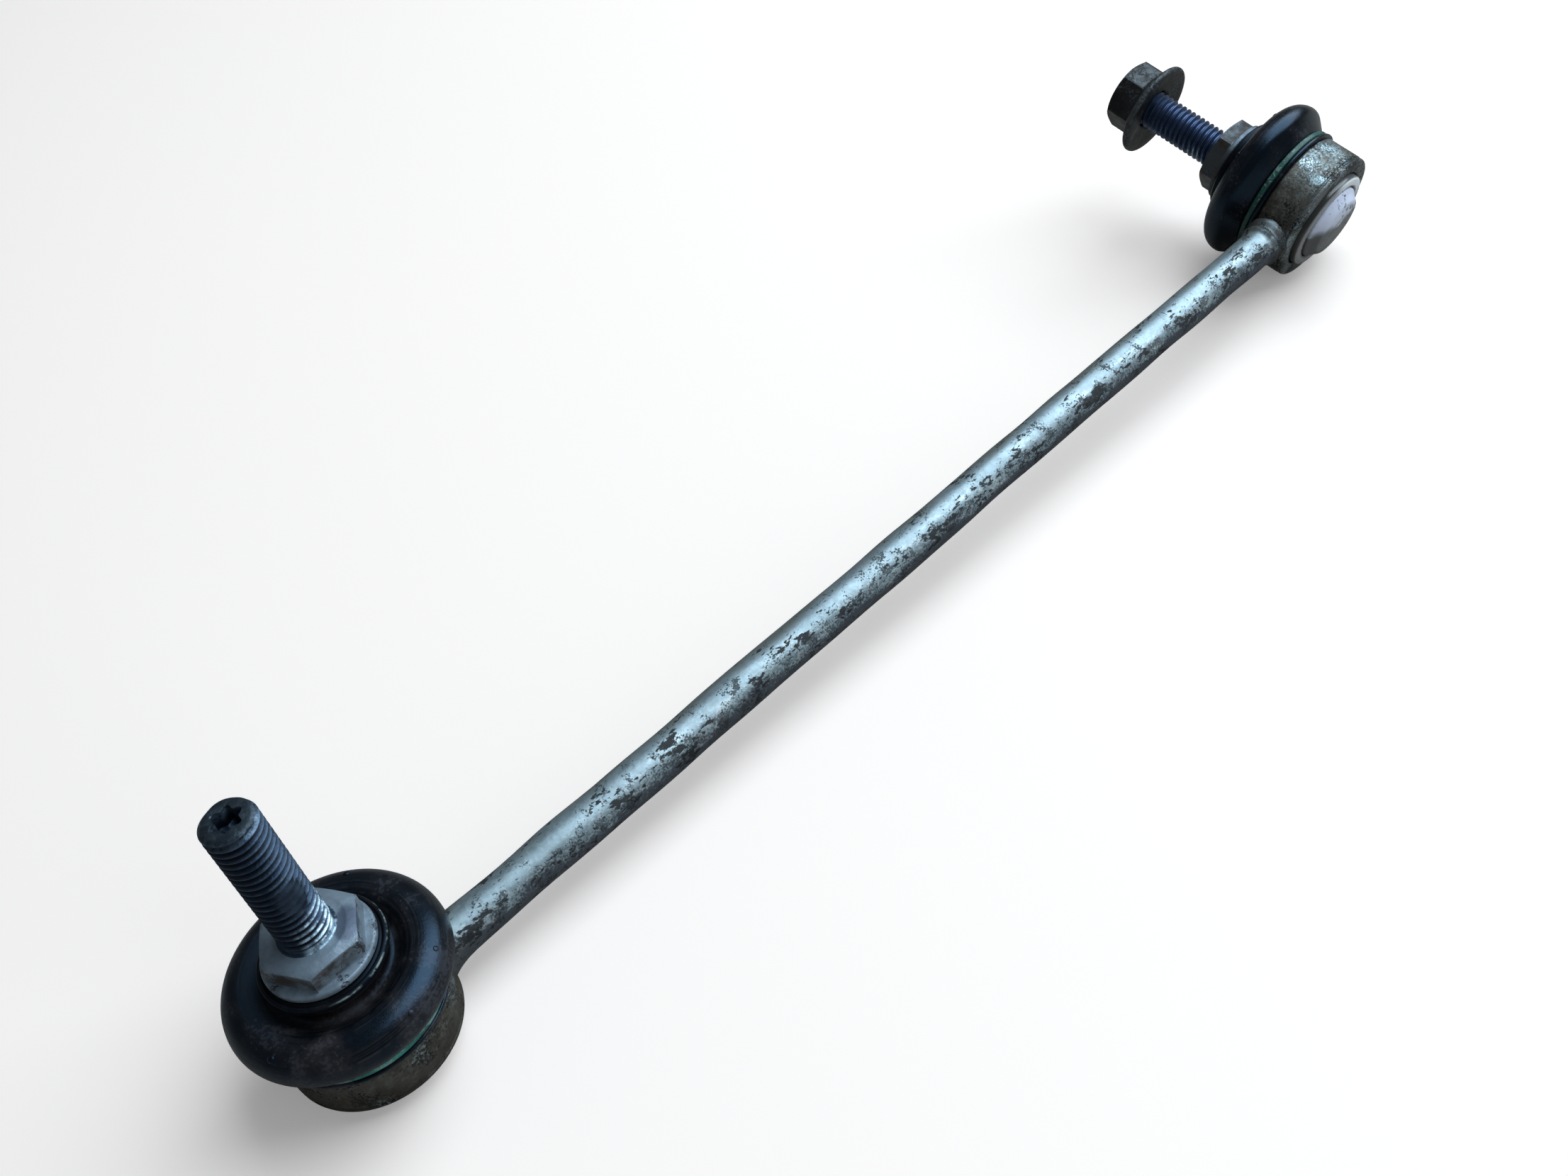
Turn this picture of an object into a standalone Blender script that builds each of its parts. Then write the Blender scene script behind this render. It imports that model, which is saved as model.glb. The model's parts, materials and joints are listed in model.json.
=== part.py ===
"""Stabilizer link for a car's suspension, modelled as separate pieces.

A round steel rod has a ball joint welded to each end. Each joint is a turned steel housing, a moulded
bearing seat and an end cap around a ball stud, closed by a rubber boot with a ring at each of its lips.
The far stud carries a flange nut with a lock ring. Sizes are in metres. X runs along the rod from the
near ball to the far ball, and +Z is the near stud.
"""

import math

import bmesh
import bpy
from mathutils import Matrix, Vector

# Driving sizes of the link
BALL_SPACING = 0.2980
STUD_TWIST = math.radians(72.0)
STUD_LEAN = math.radians(25.0)
FIT_GAP = 0.0003

# Rod
ROD_RADIUS = 0.00465
WELD_SIDE_UPSET = 0.0016
WELD_TOP_UPSET = 0.0001
WELD_UPSET_LENGTH = 0.0060
ROD_ROOT_DEPTH = 0.0035

# Ball stud
BALL_RADIUS = 0.0080
BALL_FLAT_RADIUS = 0.0022
NECK_RADIUS = 0.0049
NECK_LENGTH = 0.0025
HUB_RADIUS = 0.0060
HUB_LENGTH = 0.0080
HUB_TAPER_LENGTH = 0.0045
FLANGE_RADIUS = 0.0104
FLANGE_THICKNESS = 0.0014
FLANGE_EDGE = 0.0004
HEX_ACROSS_FLATS = 0.0170
HEX_HEIGHT = 0.0047
HEX_CHAMFER = 0.0008
HEX_CHAMFER_ANGLE = math.radians(30.0)
HEX_FLAT_MARGIN = 0.00025
SHANK_RADIUS = 0.00493
SHANK_ROOT_FILLET = 0.0006
SHANK_LENGTH = 0.0320
TIP_CHAMFER = 0.0010
SOCKET_RADIUS = 0.00275
SOCKET_LOBE_DEPTH = 0.00040
SOCKET_LOBES = 6
SOCKET_DEPTH = 0.0045

# Bearing seat and end cap
SEAT_WALL = 0.0038
SEAT_LIP_HEIGHT = 0.0030
SEAT_TOP_HEIGHT = 0.0041
SEAT_FLANGE_WIDTH = 0.0019
SEAT_FLANGE_THICKNESS = 0.0012
SEAT_FOOT_DROP = 0.0015
SEAT_FOOT_EDGE = 0.0005
SEAT_SLOT_COUNT = 6
SEAT_SLOT_WIDTH = 0.0012
SEAT_SLOT_DEPTH = 0.0056
CAP_SHOULDER_WIDTH = 0.0016
CAP_WALL = 0.0021
CAP_RIM_DEPTH = 0.0030
CAP_DOME_RADIUS = 0.0076
CAP_DOME_CROWN = 0.0004
CAP_EDGE = 0.0007

# Housing
HOUSING_WALL = 0.0045
HOUSING_BOTTOM = -0.0058
HOUSING_SHOULDER = 0.0049
HOUSING_EDGE = 0.0007
ROLLED_LIP_THICKNESS = 0.0012
ROLLED_LIP_OVERHANG = 0.0011
GROOVE_DEPTH = 0.0029
GROOVE_HEIGHT = 0.0028
TOP_BEAD_WIDTH = 0.0012
TOP_BEAD_THICKNESS = 0.0010
OPENING_MARGIN = 0.0006

# Boot and its rings
BOOT_WALL = 0.0014
BOOT_FOOT_WALL = 0.0020
BOOT_LIP_THICKNESS = 0.0008
BOOT_LIP_OVERHANG = 0.0008
BASE_RING_HEIGHT = 0.0012
BASE_RING_WIDTH = 0.0009
BULGE_RADIUS = 0.0210
BULGE_TUBE_RADIUS = 0.0048
BULGE_HEIGHT = 0.0130
BULGE_TOP_ANGLE = 100.0
BULGE_FOOT_ANGLE = -75.0
HOLLOW_FOOT_ANGLE = -85.0
BOOT_NECK_WALL = 0.0018
BOOT_TOP_LIP_WIDTH = 0.0026
BOOT_TOP_LIP_THICKNESS = 0.0011
TOP_RING_SECTION = 0.0013
SADDLE_RADIUS = 0.0116

# Seal collar under the stud's flange
COLLAR_RADIUS = 0.01175
COLLAR_THICKNESS = 0.0018
COLLAR_EDGE = 0.0004

# Flange nut and its lock ring
NUT_TIP_PROUD = 0.0008
NUT_HEIGHT = 0.0102
NUT_ACROSS_FLATS = 0.0160
NUT_FLANGE_RADIUS = 0.0123
NUT_FLANGE_THICKNESS = 0.0014
NUT_FLANGE_EDGE = 0.0004
NUT_CONE_HEIGHT = 0.0028
NUT_CHAMFER = 0.0008
NUT_COUNTERSINK = 0.0007
NUT_FACE_WIDTH = 0.0021
NUT_DISH_DEPTH = 0.0004
NUT_DISH_FLOOR_RADIUS = 0.0068
LOCK_RING_HEIGHT = 0.0020
LOCK_RING_WALL = 0.0014
LOCK_RING_SET_BACK = 0.0006

# Ring sections, and how far cutters reach past what they cut
RING_CLIP_SHARE = 0.3
CUTTER_REACH = 0.0020

# Facets round a turned piece and along its curves
FINE_STEPS = 28
PLAIN_STEPS = 24
BALL_STEPS = 8
CAVITY_STEPS = 5
BULGE_STEPS = 8
BULGE_HOLLOW_STEPS = 6
WELD_STEPS = 4
LOBE_STEPS = 6
MERGE_DISTANCE = 0.00001

# Sizes worked out from the ones above
CAVITY_RADIUS = BALL_RADIUS + FIT_GAP
SEAT_RADIUS = CAVITY_RADIUS + SEAT_WALL
BORE_RADIUS = SEAT_RADIUS + FIT_GAP
HOUSING_RADIUS = BORE_RADIUS + HOUSING_WALL
SEAT_FLANGE_RADIUS = SEAT_RADIUS + SEAT_FLANGE_WIDTH
COUNTERBORE_RADIUS = SEAT_FLANGE_RADIUS + FIT_GAP
ROLLED_LIP_RADIUS = COUNTERBORE_RADIUS - ROLLED_LIP_OVERHANG
ROLLED_LIP_TOP = HOUSING_BOTTOM + ROLLED_LIP_THICKNESS
SEAT_FLANGE_BOTTOM = ROLLED_LIP_TOP + FIT_GAP
SEAT_FLANGE_TOP = SEAT_FLANGE_BOTTOM + SEAT_FLANGE_THICKNESS
COUNTERBORE_TOP = SEAT_FLANGE_TOP + FIT_GAP
BORE_TOP = SEAT_TOP_HEIGHT + FIT_GAP
GROOVE_RADIUS = HOUSING_RADIUS - GROOVE_DEPTH
GROOVE_TOP = HOUSING_SHOULDER + GROOVE_HEIGHT
TOP_BEAD_RADIUS = GROOVE_RADIUS + TOP_BEAD_WIDTH
HOUSING_TOP = GROOVE_TOP + TOP_BEAD_THICKNESS
SEAT_FOOT_RADIUS = ROLLED_LIP_RADIUS - FIT_GAP
SEAT_FOOT_BOTTOM = HOUSING_BOTTOM - SEAT_FOOT_DROP
CAP_SHOULDER_RADIUS = CAVITY_RADIUS + CAP_SHOULDER_WIDTH
CAP_TOP = -CAP_RIM_DEPTH
CAP_BOTTOM = -(CAVITY_RADIUS + CAP_WALL)
NECK_BOTTOM = math.sqrt(BALL_RADIUS ** 2 - NECK_RADIUS ** 2)
TAPER_BOTTOM = NECK_BOTTOM + NECK_LENGTH
HUB_BOTTOM = TAPER_BOTTOM + HUB_TAPER_LENGTH
FLANGE_BOTTOM = HUB_BOTTOM + HUB_LENGTH
FLANGE_TOP = FLANGE_BOTTOM + FLANGE_THICKNESS
HEX_TOP = FLANGE_TOP + HEX_HEIGHT
STUD_TIP = HEX_TOP + SHANK_LENGTH
COLLAR_TOP = FLANGE_BOTTOM - FIT_GAP
COLLAR_BOTTOM = COLLAR_TOP - COLLAR_THICKNESS
NUT_END = STUD_TIP - NUT_TIP_PROUD
NUT_FACE = NUT_END - NUT_HEIGHT
NUT_CORE_RADIUS = NUT_ACROSS_FLATS / 2.0 - NUT_CHAMFER
NUT_BORE_RADIUS = SHANK_RADIUS + FIT_GAP
LOCK_RING_BOTTOM = NUT_END - LOCK_RING_SET_BACK - LOCK_RING_HEIGHT
LOCK_RING_POCKET_RADIUS = NUT_BORE_RADIUS + LOCK_RING_WALL + FIT_GAP


def clear_scene():
    """Remove every object that the new file starts with."""
    for leftover in list(bpy.data.objects):
        bpy.data.objects.remove(leftover, do_unlink=True)


def collection(name):
    """Add a collection to the scene."""
    group = bpy.data.collections.new(name)
    bpy.context.scene.collection.children.link(group)
    return group


def material(name, colour, roughness, metallic):
    """Make a plain Principled material."""
    surface = bpy.data.materials.new(name)
    surface.use_nodes = True
    shader = surface.node_tree.nodes["Principled BSDF"]
    shader.inputs["Base Color"].default_value = (*colour, 1.0)
    shader.inputs["Roughness"].default_value = roughness
    shader.inputs["Metallic"].default_value = metallic
    return surface


def arc(centre, radius, start, end, count):
    """Points on an arc in the profile plane, with its angles in degrees from the +radius direction."""
    points = []
    for index in range(count + 1):
        angle = math.radians(start + (end - start) * index / count)
        points.append((centre[0] + radius * math.cos(angle), centre[1] + radius * math.sin(angle)))
    return points


def profile_mesh(name, points, closed):
    """A chain of edges in the XZ plane, for the Screw modifier."""
    mesh = bpy.data.meshes.new(name)
    shape = bmesh.new()
    chain = [shape.verts.new((radius, 0.0, height)) for radius, height in points]
    links = list(zip(chain, chain[1:]))
    if closed:
        links.append((chain[-1], chain[0]))
    for first, second in links:
        shape.edges.new((first, second))
    shape.to_mesh(mesh)
    shape.free()
    return mesh


def add_screw(piece, steps):
    """Turn a profile once round Z."""
    screw = piece.modifiers.new("Turned", "SCREW")
    screw.axis = "Z"
    screw.angle = math.tau
    screw.steps = steps
    screw.render_steps = steps
    screw.use_merge_vertices = True
    screw.merge_threshold = MERGE_DISTANCE
    screw.use_smooth_shade = True


def add_boolean(piece, other, operation):
    """Cut a piece with another, join it to it or keep what they share."""
    step = piece.modifiers.new(operation.title(), "BOOLEAN")
    step.operation = operation
    step.solver = "EXACT"
    step.object = other


def place(piece, group, parent):
    """Put an object in a collection, under the empty at its joint's centre."""
    group.objects.link(piece)
    piece.parent = parent
    return piece


def turned_piece(name, points, closed, steps, surface, group, parent):
    """A solid turned from a profile that runs down its outer side."""
    mesh = profile_mesh(name, points, closed)
    mesh.materials.append(surface)
    piece = bpy.data.objects.new(name, mesh)
    add_screw(piece, steps)
    return place(piece, group, parent)


def as_cutter(piece):
    """Hide a construction solid from the finished part."""
    piece.hide_render = True
    piece.display_type = "WIRE"
    return piece


def hex_prism(name, across_flats, bottom, top, group, parent):
    """A hexagonal bar between two heights, its corners on the X axis."""
    mesh = bpy.data.meshes.new(name)
    shape = bmesh.new()
    corner_radius = across_flats / math.sqrt(3.0)
    bmesh.ops.create_cone(
        shape, cap_ends=True, segments=6, radius1=corner_radius, radius2=corner_radius, depth=top - bottom)
    bmesh.ops.rotate(shape, verts=shape.verts, cent=(0, 0, 0), matrix=Matrix.Rotation(math.pi / 6.0, 3, "Z"))
    bmesh.ops.translate(shape, verts=shape.verts, vec=(0.0, 0.0, (bottom + top) / 2.0))
    shape.to_mesh(mesh)
    shape.free()
    return as_cutter(place(bpy.data.objects.new(name, mesh), group, parent))


def chamfer_envelope(name, across_flats, bottom, top, chamfer, group, parent, plain):
    """The turned body that trims a hexagon's corners at its top end."""
    corner_radius = across_flats / math.sqrt(3.0)
    rim = corner_radius + chamfer
    trimmed = across_flats / 2.0 - HEX_FLAT_MARGIN
    drop = (rim - trimmed) * math.tan(HEX_CHAMFER_ANGLE)
    points = [(0.0, top), (trimmed, top), (rim, top - drop), (rim, bottom), (0.0, bottom)]
    return as_cutter(turned_piece(name, points, False, PLAIN_STEPS, plain, group, parent))


def six_lobe_prism(name, mouth_height, depth, group, parent):
    """The prism of a six-lobe key socket, whose outline is a wave round a circle."""
    mesh = bpy.data.meshes.new(name)
    shape = bmesh.new()
    mean_radius = SOCKET_RADIUS - SOCKET_LOBE_DEPTH
    outline = []
    count = SOCKET_LOBES * LOBE_STEPS
    for index in range(count):
        angle = math.tau * index / count
        radius = mean_radius + SOCKET_LOBE_DEPTH * math.cos(SOCKET_LOBES * angle)
        outline.append(shape.verts.new((radius * math.cos(angle), radius * math.sin(angle), mouth_height - depth)))
    floor = shape.faces.new(outline)
    raised = bmesh.ops.extrude_face_region(shape, geom=[floor])
    top = [item for item in raised["geom"] if isinstance(item, bmesh.types.BMVert)]
    bmesh.ops.translate(shape, verts=top, vec=(0.0, 0.0, depth + CUTTER_REACH))
    bmesh.ops.recalc_face_normals(shape, faces=shape.faces)
    shape.to_mesh(mesh)
    shape.free()
    return as_cutter(place(bpy.data.objects.new(name, mesh), group, parent))


def stud_profile():
    """Half section of a ball stud: shank, seat for the hexagon, flange, hub, neck and ball."""
    flat_height = -math.sqrt(BALL_RADIUS ** 2 - BALL_FLAT_RADIUS ** 2)
    start = math.degrees(math.atan2(NECK_BOTTOM, NECK_RADIUS))
    end = math.degrees(math.atan2(flat_height, BALL_FLAT_RADIUS))
    points = [(0.0, STUD_TIP), (SHANK_RADIUS - TIP_CHAMFER, STUD_TIP), (SHANK_RADIUS, STUD_TIP - TIP_CHAMFER)]
    points += [(SHANK_RADIUS, HEX_TOP + SHANK_ROOT_FILLET), (SHANK_RADIUS + SHANK_ROOT_FILLET, HEX_TOP)]
    points += [(SHANK_RADIUS + SHANK_ROOT_FILLET, FLANGE_TOP), (FLANGE_RADIUS - FLANGE_EDGE, FLANGE_TOP)]
    points += [(FLANGE_RADIUS, FLANGE_TOP - FLANGE_EDGE), (FLANGE_RADIUS, FLANGE_BOTTOM + FLANGE_EDGE)]
    points += [(FLANGE_RADIUS - FLANGE_EDGE, FLANGE_BOTTOM), (HUB_RADIUS, FLANGE_BOTTOM)]
    points += [(HUB_RADIUS, HUB_BOTTOM), (NECK_RADIUS, TAPER_BOTTOM)]
    points += arc((0.0, 0.0), BALL_RADIUS, start, end, BALL_STEPS)
    points.append((0.0, flat_height))
    return points


def ball_stud(end, surface, group, cutters, parent):
    """Ball stud with its hexagon joined on and the key socket cut in its tip."""
    stud = turned_piece(end + "_ball_stud", stud_profile(), False, PLAIN_STEPS, surface, group, parent)
    overlap = FLANGE_THICKNESS / 2.0
    bottom = FLANGE_TOP - overlap
    prism = hex_prism(end + "_stud_hex", HEX_ACROSS_FLATS, bottom, HEX_TOP, cutters, parent)
    envelope = chamfer_envelope(
        end + "_stud_hex_chamfer", HEX_ACROSS_FLATS, bottom - overlap, HEX_TOP, HEX_CHAMFER, cutters, parent,
        surface)
    add_boolean(prism, envelope, "INTERSECT")
    add_boolean(stud, prism, "UNION")
    socket = six_lobe_prism(end + "_stud_socket", STUD_TIP, SOCKET_DEPTH, cutters, parent)
    add_boolean(stud, socket, "DIFFERENCE")
    return stud


def opening_radius(height):
    """The hole that the leaning neck needs at a height, with a margin."""
    reach = NECK_RADIUS + FIT_GAP + height * math.sin(STUD_LEAN)
    return reach / math.cos(STUD_LEAN) + OPENING_MARGIN


def housing_profile():
    """Closed half section of the housing, down its outside and back up its bore."""
    points = [(TOP_BEAD_RADIUS, HOUSING_TOP), (TOP_BEAD_RADIUS, GROOVE_TOP), (GROOVE_RADIUS, GROOVE_TOP)]
    points += [(GROOVE_RADIUS, HOUSING_SHOULDER), (HOUSING_RADIUS - HOUSING_EDGE / 2.0, HOUSING_SHOULDER)]
    points += [(HOUSING_RADIUS, HOUSING_SHOULDER - HOUSING_EDGE / 2.0)]
    points += arc((HOUSING_RADIUS - HOUSING_EDGE, HOUSING_BOTTOM + HOUSING_EDGE), HOUSING_EDGE, 0.0, -90.0, 2)
    points += [(ROLLED_LIP_RADIUS + HOUSING_EDGE / 2.0, HOUSING_BOTTOM)]
    points += [(ROLLED_LIP_RADIUS, HOUSING_BOTTOM + HOUSING_EDGE / 2.0), (ROLLED_LIP_RADIUS, ROLLED_LIP_TOP)]
    points += [(COUNTERBORE_RADIUS, ROLLED_LIP_TOP), (COUNTERBORE_RADIUS, COUNTERBORE_TOP)]
    points += [(BORE_RADIUS, COUNTERBORE_TOP), (BORE_RADIUS, BORE_TOP)]
    points += [(opening_radius(BORE_TOP), BORE_TOP), (opening_radius(HOUSING_TOP), HOUSING_TOP)]
    return points


def seat_profile():
    """Closed half section of the bearing seat, with the ball's hollow and the cap's counterbore."""
    lip_angle = math.degrees(math.asin(SEAT_LIP_HEIGHT / CAVITY_RADIUS))
    shoulder = CAP_TOP + FIT_GAP
    bottom_angle = math.degrees(math.asin(shoulder / CAVITY_RADIUS))
    cap_hole = CAP_SHOULDER_RADIUS + FIT_GAP
    points = [(SEAT_RADIUS, SEAT_TOP_HEIGHT), (SEAT_RADIUS, SEAT_FLANGE_TOP)]
    points += [(SEAT_FLANGE_RADIUS, SEAT_FLANGE_TOP), (SEAT_FLANGE_RADIUS, SEAT_FLANGE_BOTTOM)]
    points += [(SEAT_FOOT_RADIUS, SEAT_FLANGE_BOTTOM), (SEAT_FOOT_RADIUS, SEAT_FOOT_BOTTOM + SEAT_FOOT_EDGE)]
    points += [(SEAT_FOOT_RADIUS - SEAT_FOOT_EDGE, SEAT_FOOT_BOTTOM), (cap_hole, SEAT_FOOT_BOTTOM)]
    points += [(cap_hole, shoulder)]
    points += arc((0.0, 0.0), CAVITY_RADIUS, bottom_angle, lip_angle, CAVITY_STEPS)
    points += [(opening_radius(SEAT_TOP_HEIGHT) + OPENING_MARGIN, SEAT_TOP_HEIGHT)]
    return points


def slotted_seat(end, surface, group, cutters, parent):
    """Bearing seat with slots down its wall, so that it springs open over the ball."""
    seat = turned_piece(end + "_ball_seat", seat_profile(), True, PLAIN_STEPS, surface, group, parent)
    mesh = bpy.data.meshes.new(end + "_seat_slots")
    shape = bmesh.new()
    inner = opening_radius(SEAT_TOP_HEIGHT)
    slot_top = SEAT_TOP_HEIGHT + FIT_GAP
    slot_bottom = SEAT_TOP_HEIGHT - SEAT_SLOT_DEPTH
    middle = (inner + SEAT_RADIUS) / 2.0 + FIT_GAP
    for index in range(SEAT_SLOT_COUNT):
        turn = Matrix.Rotation(math.tau * (index + 0.5) / SEAT_SLOT_COUNT, 4, "Z")
        spot = Matrix.Translation((middle, 0.0, (slot_top + slot_bottom) / 2.0))
        size = Matrix.Diagonal((SEAT_RADIUS, SEAT_SLOT_WIDTH, slot_top - slot_bottom, 1.0))
        bmesh.ops.create_cube(shape, size=1.0, matrix=turn @ spot @ size)
    shape.to_mesh(mesh)
    shape.free()
    slots = as_cutter(place(bpy.data.objects.new(mesh.name, mesh), cutters, parent))
    add_boolean(seat, slots, "DIFFERENCE")
    return seat


def cap_profile():
    """Half section of the end cap: a dish for the ball inside and a blunt dome outside."""
    shoulder_bottom = SEAT_FOOT_BOTTOM - CAP_EDGE / 2.0
    rim_angle = math.degrees(math.asin(CAP_TOP / CAVITY_RADIUS))
    points = arc((0.0, 0.0), CAVITY_RADIUS, -90.0, rim_angle, CAVITY_STEPS)
    points += [(CAP_SHOULDER_RADIUS, CAP_TOP), (CAP_SHOULDER_RADIUS, shoulder_bottom)]
    points += [(CAP_SHOULDER_RADIUS - CAP_EDGE, shoulder_bottom - CAP_EDGE)]
    points += [(CAP_DOME_RADIUS + CAP_EDGE, CAP_BOTTOM + CAP_DOME_CROWN + CAP_EDGE)]
    points += [(CAP_DOME_RADIUS, CAP_BOTTOM + CAP_DOME_CROWN), (0.0, CAP_BOTTOM)]
    return points


def boot_profile():
    """Closed half section of the boot: base bead, bulge, saddle and top lip, then back up inside."""
    ring_seat = GROOVE_RADIUS + FIT_GAP + BOOT_FOOT_WALL
    bead_inner = GROOVE_RADIUS + FIT_GAP
    bead_bottom = HOUSING_SHOULDER + FIT_GAP
    bead_top = GROOVE_TOP - FIT_GAP
    lip_outer = HOUSING_RADIUS + BOOT_LIP_OVERHANG
    ring_bottom = bead_bottom + BOOT_LIP_THICKNESS
    ring_top = ring_bottom + BASE_RING_HEIGHT + 2.0 * FIT_GAP
    skirt_inner = TOP_BEAD_RADIUS + FIT_GAP
    skirt_outer = skirt_inner + BOOT_WALL
    tube = BULGE_TUBE_RADIUS
    centre = (BULGE_RADIUS - tube, BULGE_HEIGHT)
    hollow = tube - BOOT_WALL
    neck_inner = HUB_RADIUS + FIT_GAP
    neck_outer = neck_inner + BOOT_NECK_WALL
    lip_top = COLLAR_BOTTOM - FIT_GAP
    lip_bottom = lip_top - BOOT_TOP_LIP_THICKNESS
    saddle = lip_bottom - TOP_RING_SECTION - 2.0 * FIT_GAP
    points = [(neck_outer + BOOT_TOP_LIP_WIDTH, lip_top), (neck_outer + BOOT_TOP_LIP_WIDTH, lip_bottom)]
    points += [(neck_outer, lip_bottom), (neck_outer, saddle), (SADDLE_RADIUS, saddle)]
    points += arc(centre, tube, BULGE_TOP_ANGLE, BULGE_FOOT_ANGLE, BULGE_STEPS)
    points += [(skirt_outer, ring_top), (ring_seat, ring_top), (ring_seat, ring_bottom)]
    points += [(lip_outer, ring_bottom), (lip_outer, bead_bottom), (bead_inner, bead_bottom)]
    points += [(bead_inner, bead_top), (skirt_inner, bead_top)]
    points += arc(centre, hollow, HOLLOW_FOOT_ANGLE, BULGE_TOP_ANGLE, BULGE_HOLLOW_STEPS)
    points += [(SADDLE_RADIUS, saddle - BOOT_WALL), (neck_inner, saddle - BOOT_WALL), (neck_inner, lip_top)]
    return points


def ring_profile(inner, width, bottom, height):
    """Closed half section of a ring with clipped corners."""
    clip = min(width, height) * RING_CLIP_SHARE
    outer = inner + width
    top = bottom + height
    points = [(outer - clip, top), (outer, top - clip), (outer, bottom + clip), (outer - clip, bottom)]
    points += [(inner + clip, bottom), (inner, bottom + clip), (inner, top - clip), (inner + clip, top)]
    return points


def boot_set(end, surfaces, group, parent):
    """The boot with the ring round its base and the ring round its neck."""
    turned_piece(end + "_boot", boot_profile(), True, FINE_STEPS, surfaces["rubber"], group, parent)
    base_inner = GROOVE_RADIUS + BOOT_FOOT_WALL + 2.0 * FIT_GAP
    base_bottom = HOUSING_SHOULDER + BOOT_LIP_THICKNESS + 2.0 * FIT_GAP
    base = ring_profile(base_inner, BASE_RING_WIDTH, base_bottom, BASE_RING_HEIGHT)
    turned_piece(end + "_boot_base_ring", base, True, FINE_STEPS, surfaces["ring"], group, parent)
    top_inner = HUB_RADIUS + BOOT_NECK_WALL + 2.0 * FIT_GAP
    top_bottom = COLLAR_BOTTOM - BOOT_TOP_LIP_THICKNESS - TOP_RING_SECTION - 2.0 * FIT_GAP
    top = ring_profile(top_inner, TOP_RING_SECTION, top_bottom, TOP_RING_SECTION)
    turned_piece(end + "_boot_top_ring", top, True, PLAIN_STEPS, surfaces["spring"], group, parent)


def seal_collar(end, surfaces, group, parent):
    """The collar pressed on the stud's hub, on which the boot's top lip turns."""
    inner = HUB_RADIUS + FIT_GAP
    points = [(COLLAR_RADIUS - COLLAR_EDGE, COLLAR_TOP), (COLLAR_RADIUS, COLLAR_TOP - COLLAR_EDGE)]
    points += [(COLLAR_RADIUS, COLLAR_BOTTOM), (inner, COLLAR_BOTTOM), (inner, COLLAR_TOP)]
    turned_piece(end + "_seal_collar", points, True, FINE_STEPS, surfaces["collar"], group, parent)


def ball_joint(end, surfaces, group, cutters, parent):
    """Everything at one end of the link, about its ball's centre."""
    turned_piece(end + "_housing", housing_profile(), True, FINE_STEPS, surfaces["housing"], group, parent)
    slotted_seat(end, surfaces["plastic"], group, cutters, parent)
    turned_piece(end + "_end_cap", cap_profile(), False, PLAIN_STEPS, surfaces["plastic"], group, parent)
    ball_stud(end, surfaces["stud"], group, cutters, parent)
    seal_collar(end, surfaces, group, parent)
    boot_set(end, surfaces, group, parent)


def rod_stations():
    """Places along the rod with the swell of the weld there, from the near end to the far one."""
    weld = HOUSING_RADIUS + FIT_GAP
    half = [(HOUSING_RADIUS - ROD_ROOT_DEPTH, 1.0)]
    for index in range(WELD_STEPS + 1):
        share = index / WELD_STEPS
        half.append((weld + WELD_UPSET_LENGTH * share, 1.0 - math.sin(share * math.pi / 2.0)))
    near = [(along, swell, 0.0) for along, swell in half]
    far = [(BALL_SPACING - along, swell, STUD_TWIST) for along, swell in half]
    return near + far[::-1]


def rod_ring(shape, along, swell, twist):
    """One loop of points round the rod, wider across the stud where the weld has swollen it."""
    side = ROD_RADIUS + WELD_SIDE_UPSET * swell
    top = ROD_RADIUS + WELD_TOP_UPSET * swell
    loop = []
    for index in range(PLAIN_STEPS):
        angle = math.tau * index / PLAIN_STEPS
        lean = angle + twist
        radius = side * top / math.hypot(side * math.cos(lean), top * math.sin(lean))
        loop.append(shape.verts.new((along, -radius * math.sin(angle), radius * math.cos(angle))))
    return loop


def weld_cutter(end, group, parent):
    """A plain cylinder a little larger than the housing, which shapes the rod's end."""
    mesh = bpy.data.meshes.new(end + "_weld_face")
    shape = bmesh.new()
    radius = HOUSING_RADIUS + FIT_GAP
    depth = 2.0 * (ROD_RADIUS + WELD_SIDE_UPSET + CUTTER_REACH)
    bmesh.ops.create_cone(
        shape, cap_ends=True, segments=FINE_STEPS, radius1=radius, radius2=radius, depth=depth)
    shape.to_mesh(mesh)
    shape.free()
    return as_cutter(place(bpy.data.objects.new(mesh.name, mesh), group, parent))


def link_rod(surfaces, group, cutters, parents):
    """The rod, lofted along X through its rings, with each end shaped to its housing."""
    mesh = bpy.data.meshes.new("link_rod")
    shape = bmesh.new()
    loops = [rod_ring(shape, *station) for station in rod_stations()]
    for first, second in zip(loops, loops[1:]):
        for index in range(PLAIN_STEPS):
            ahead = (index + 1) % PLAIN_STEPS
            shape.faces.new((first[index], first[ahead], second[ahead], second[index]))
    shape.faces.new(loops[0])
    shape.faces.new(loops[-1])
    bmesh.ops.recalc_face_normals(shape, faces=shape.faces)
    shape.to_mesh(mesh)
    shape.free()
    mesh.shade_smooth()
    mesh.materials.append(surfaces["rod"])
    rod = place(bpy.data.objects.new("link_rod", mesh), group, None)
    for end, parent in parents.items():
        add_boolean(rod, weld_cutter(end, cutters, parent), "DIFFERENCE")
    return rod


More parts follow.
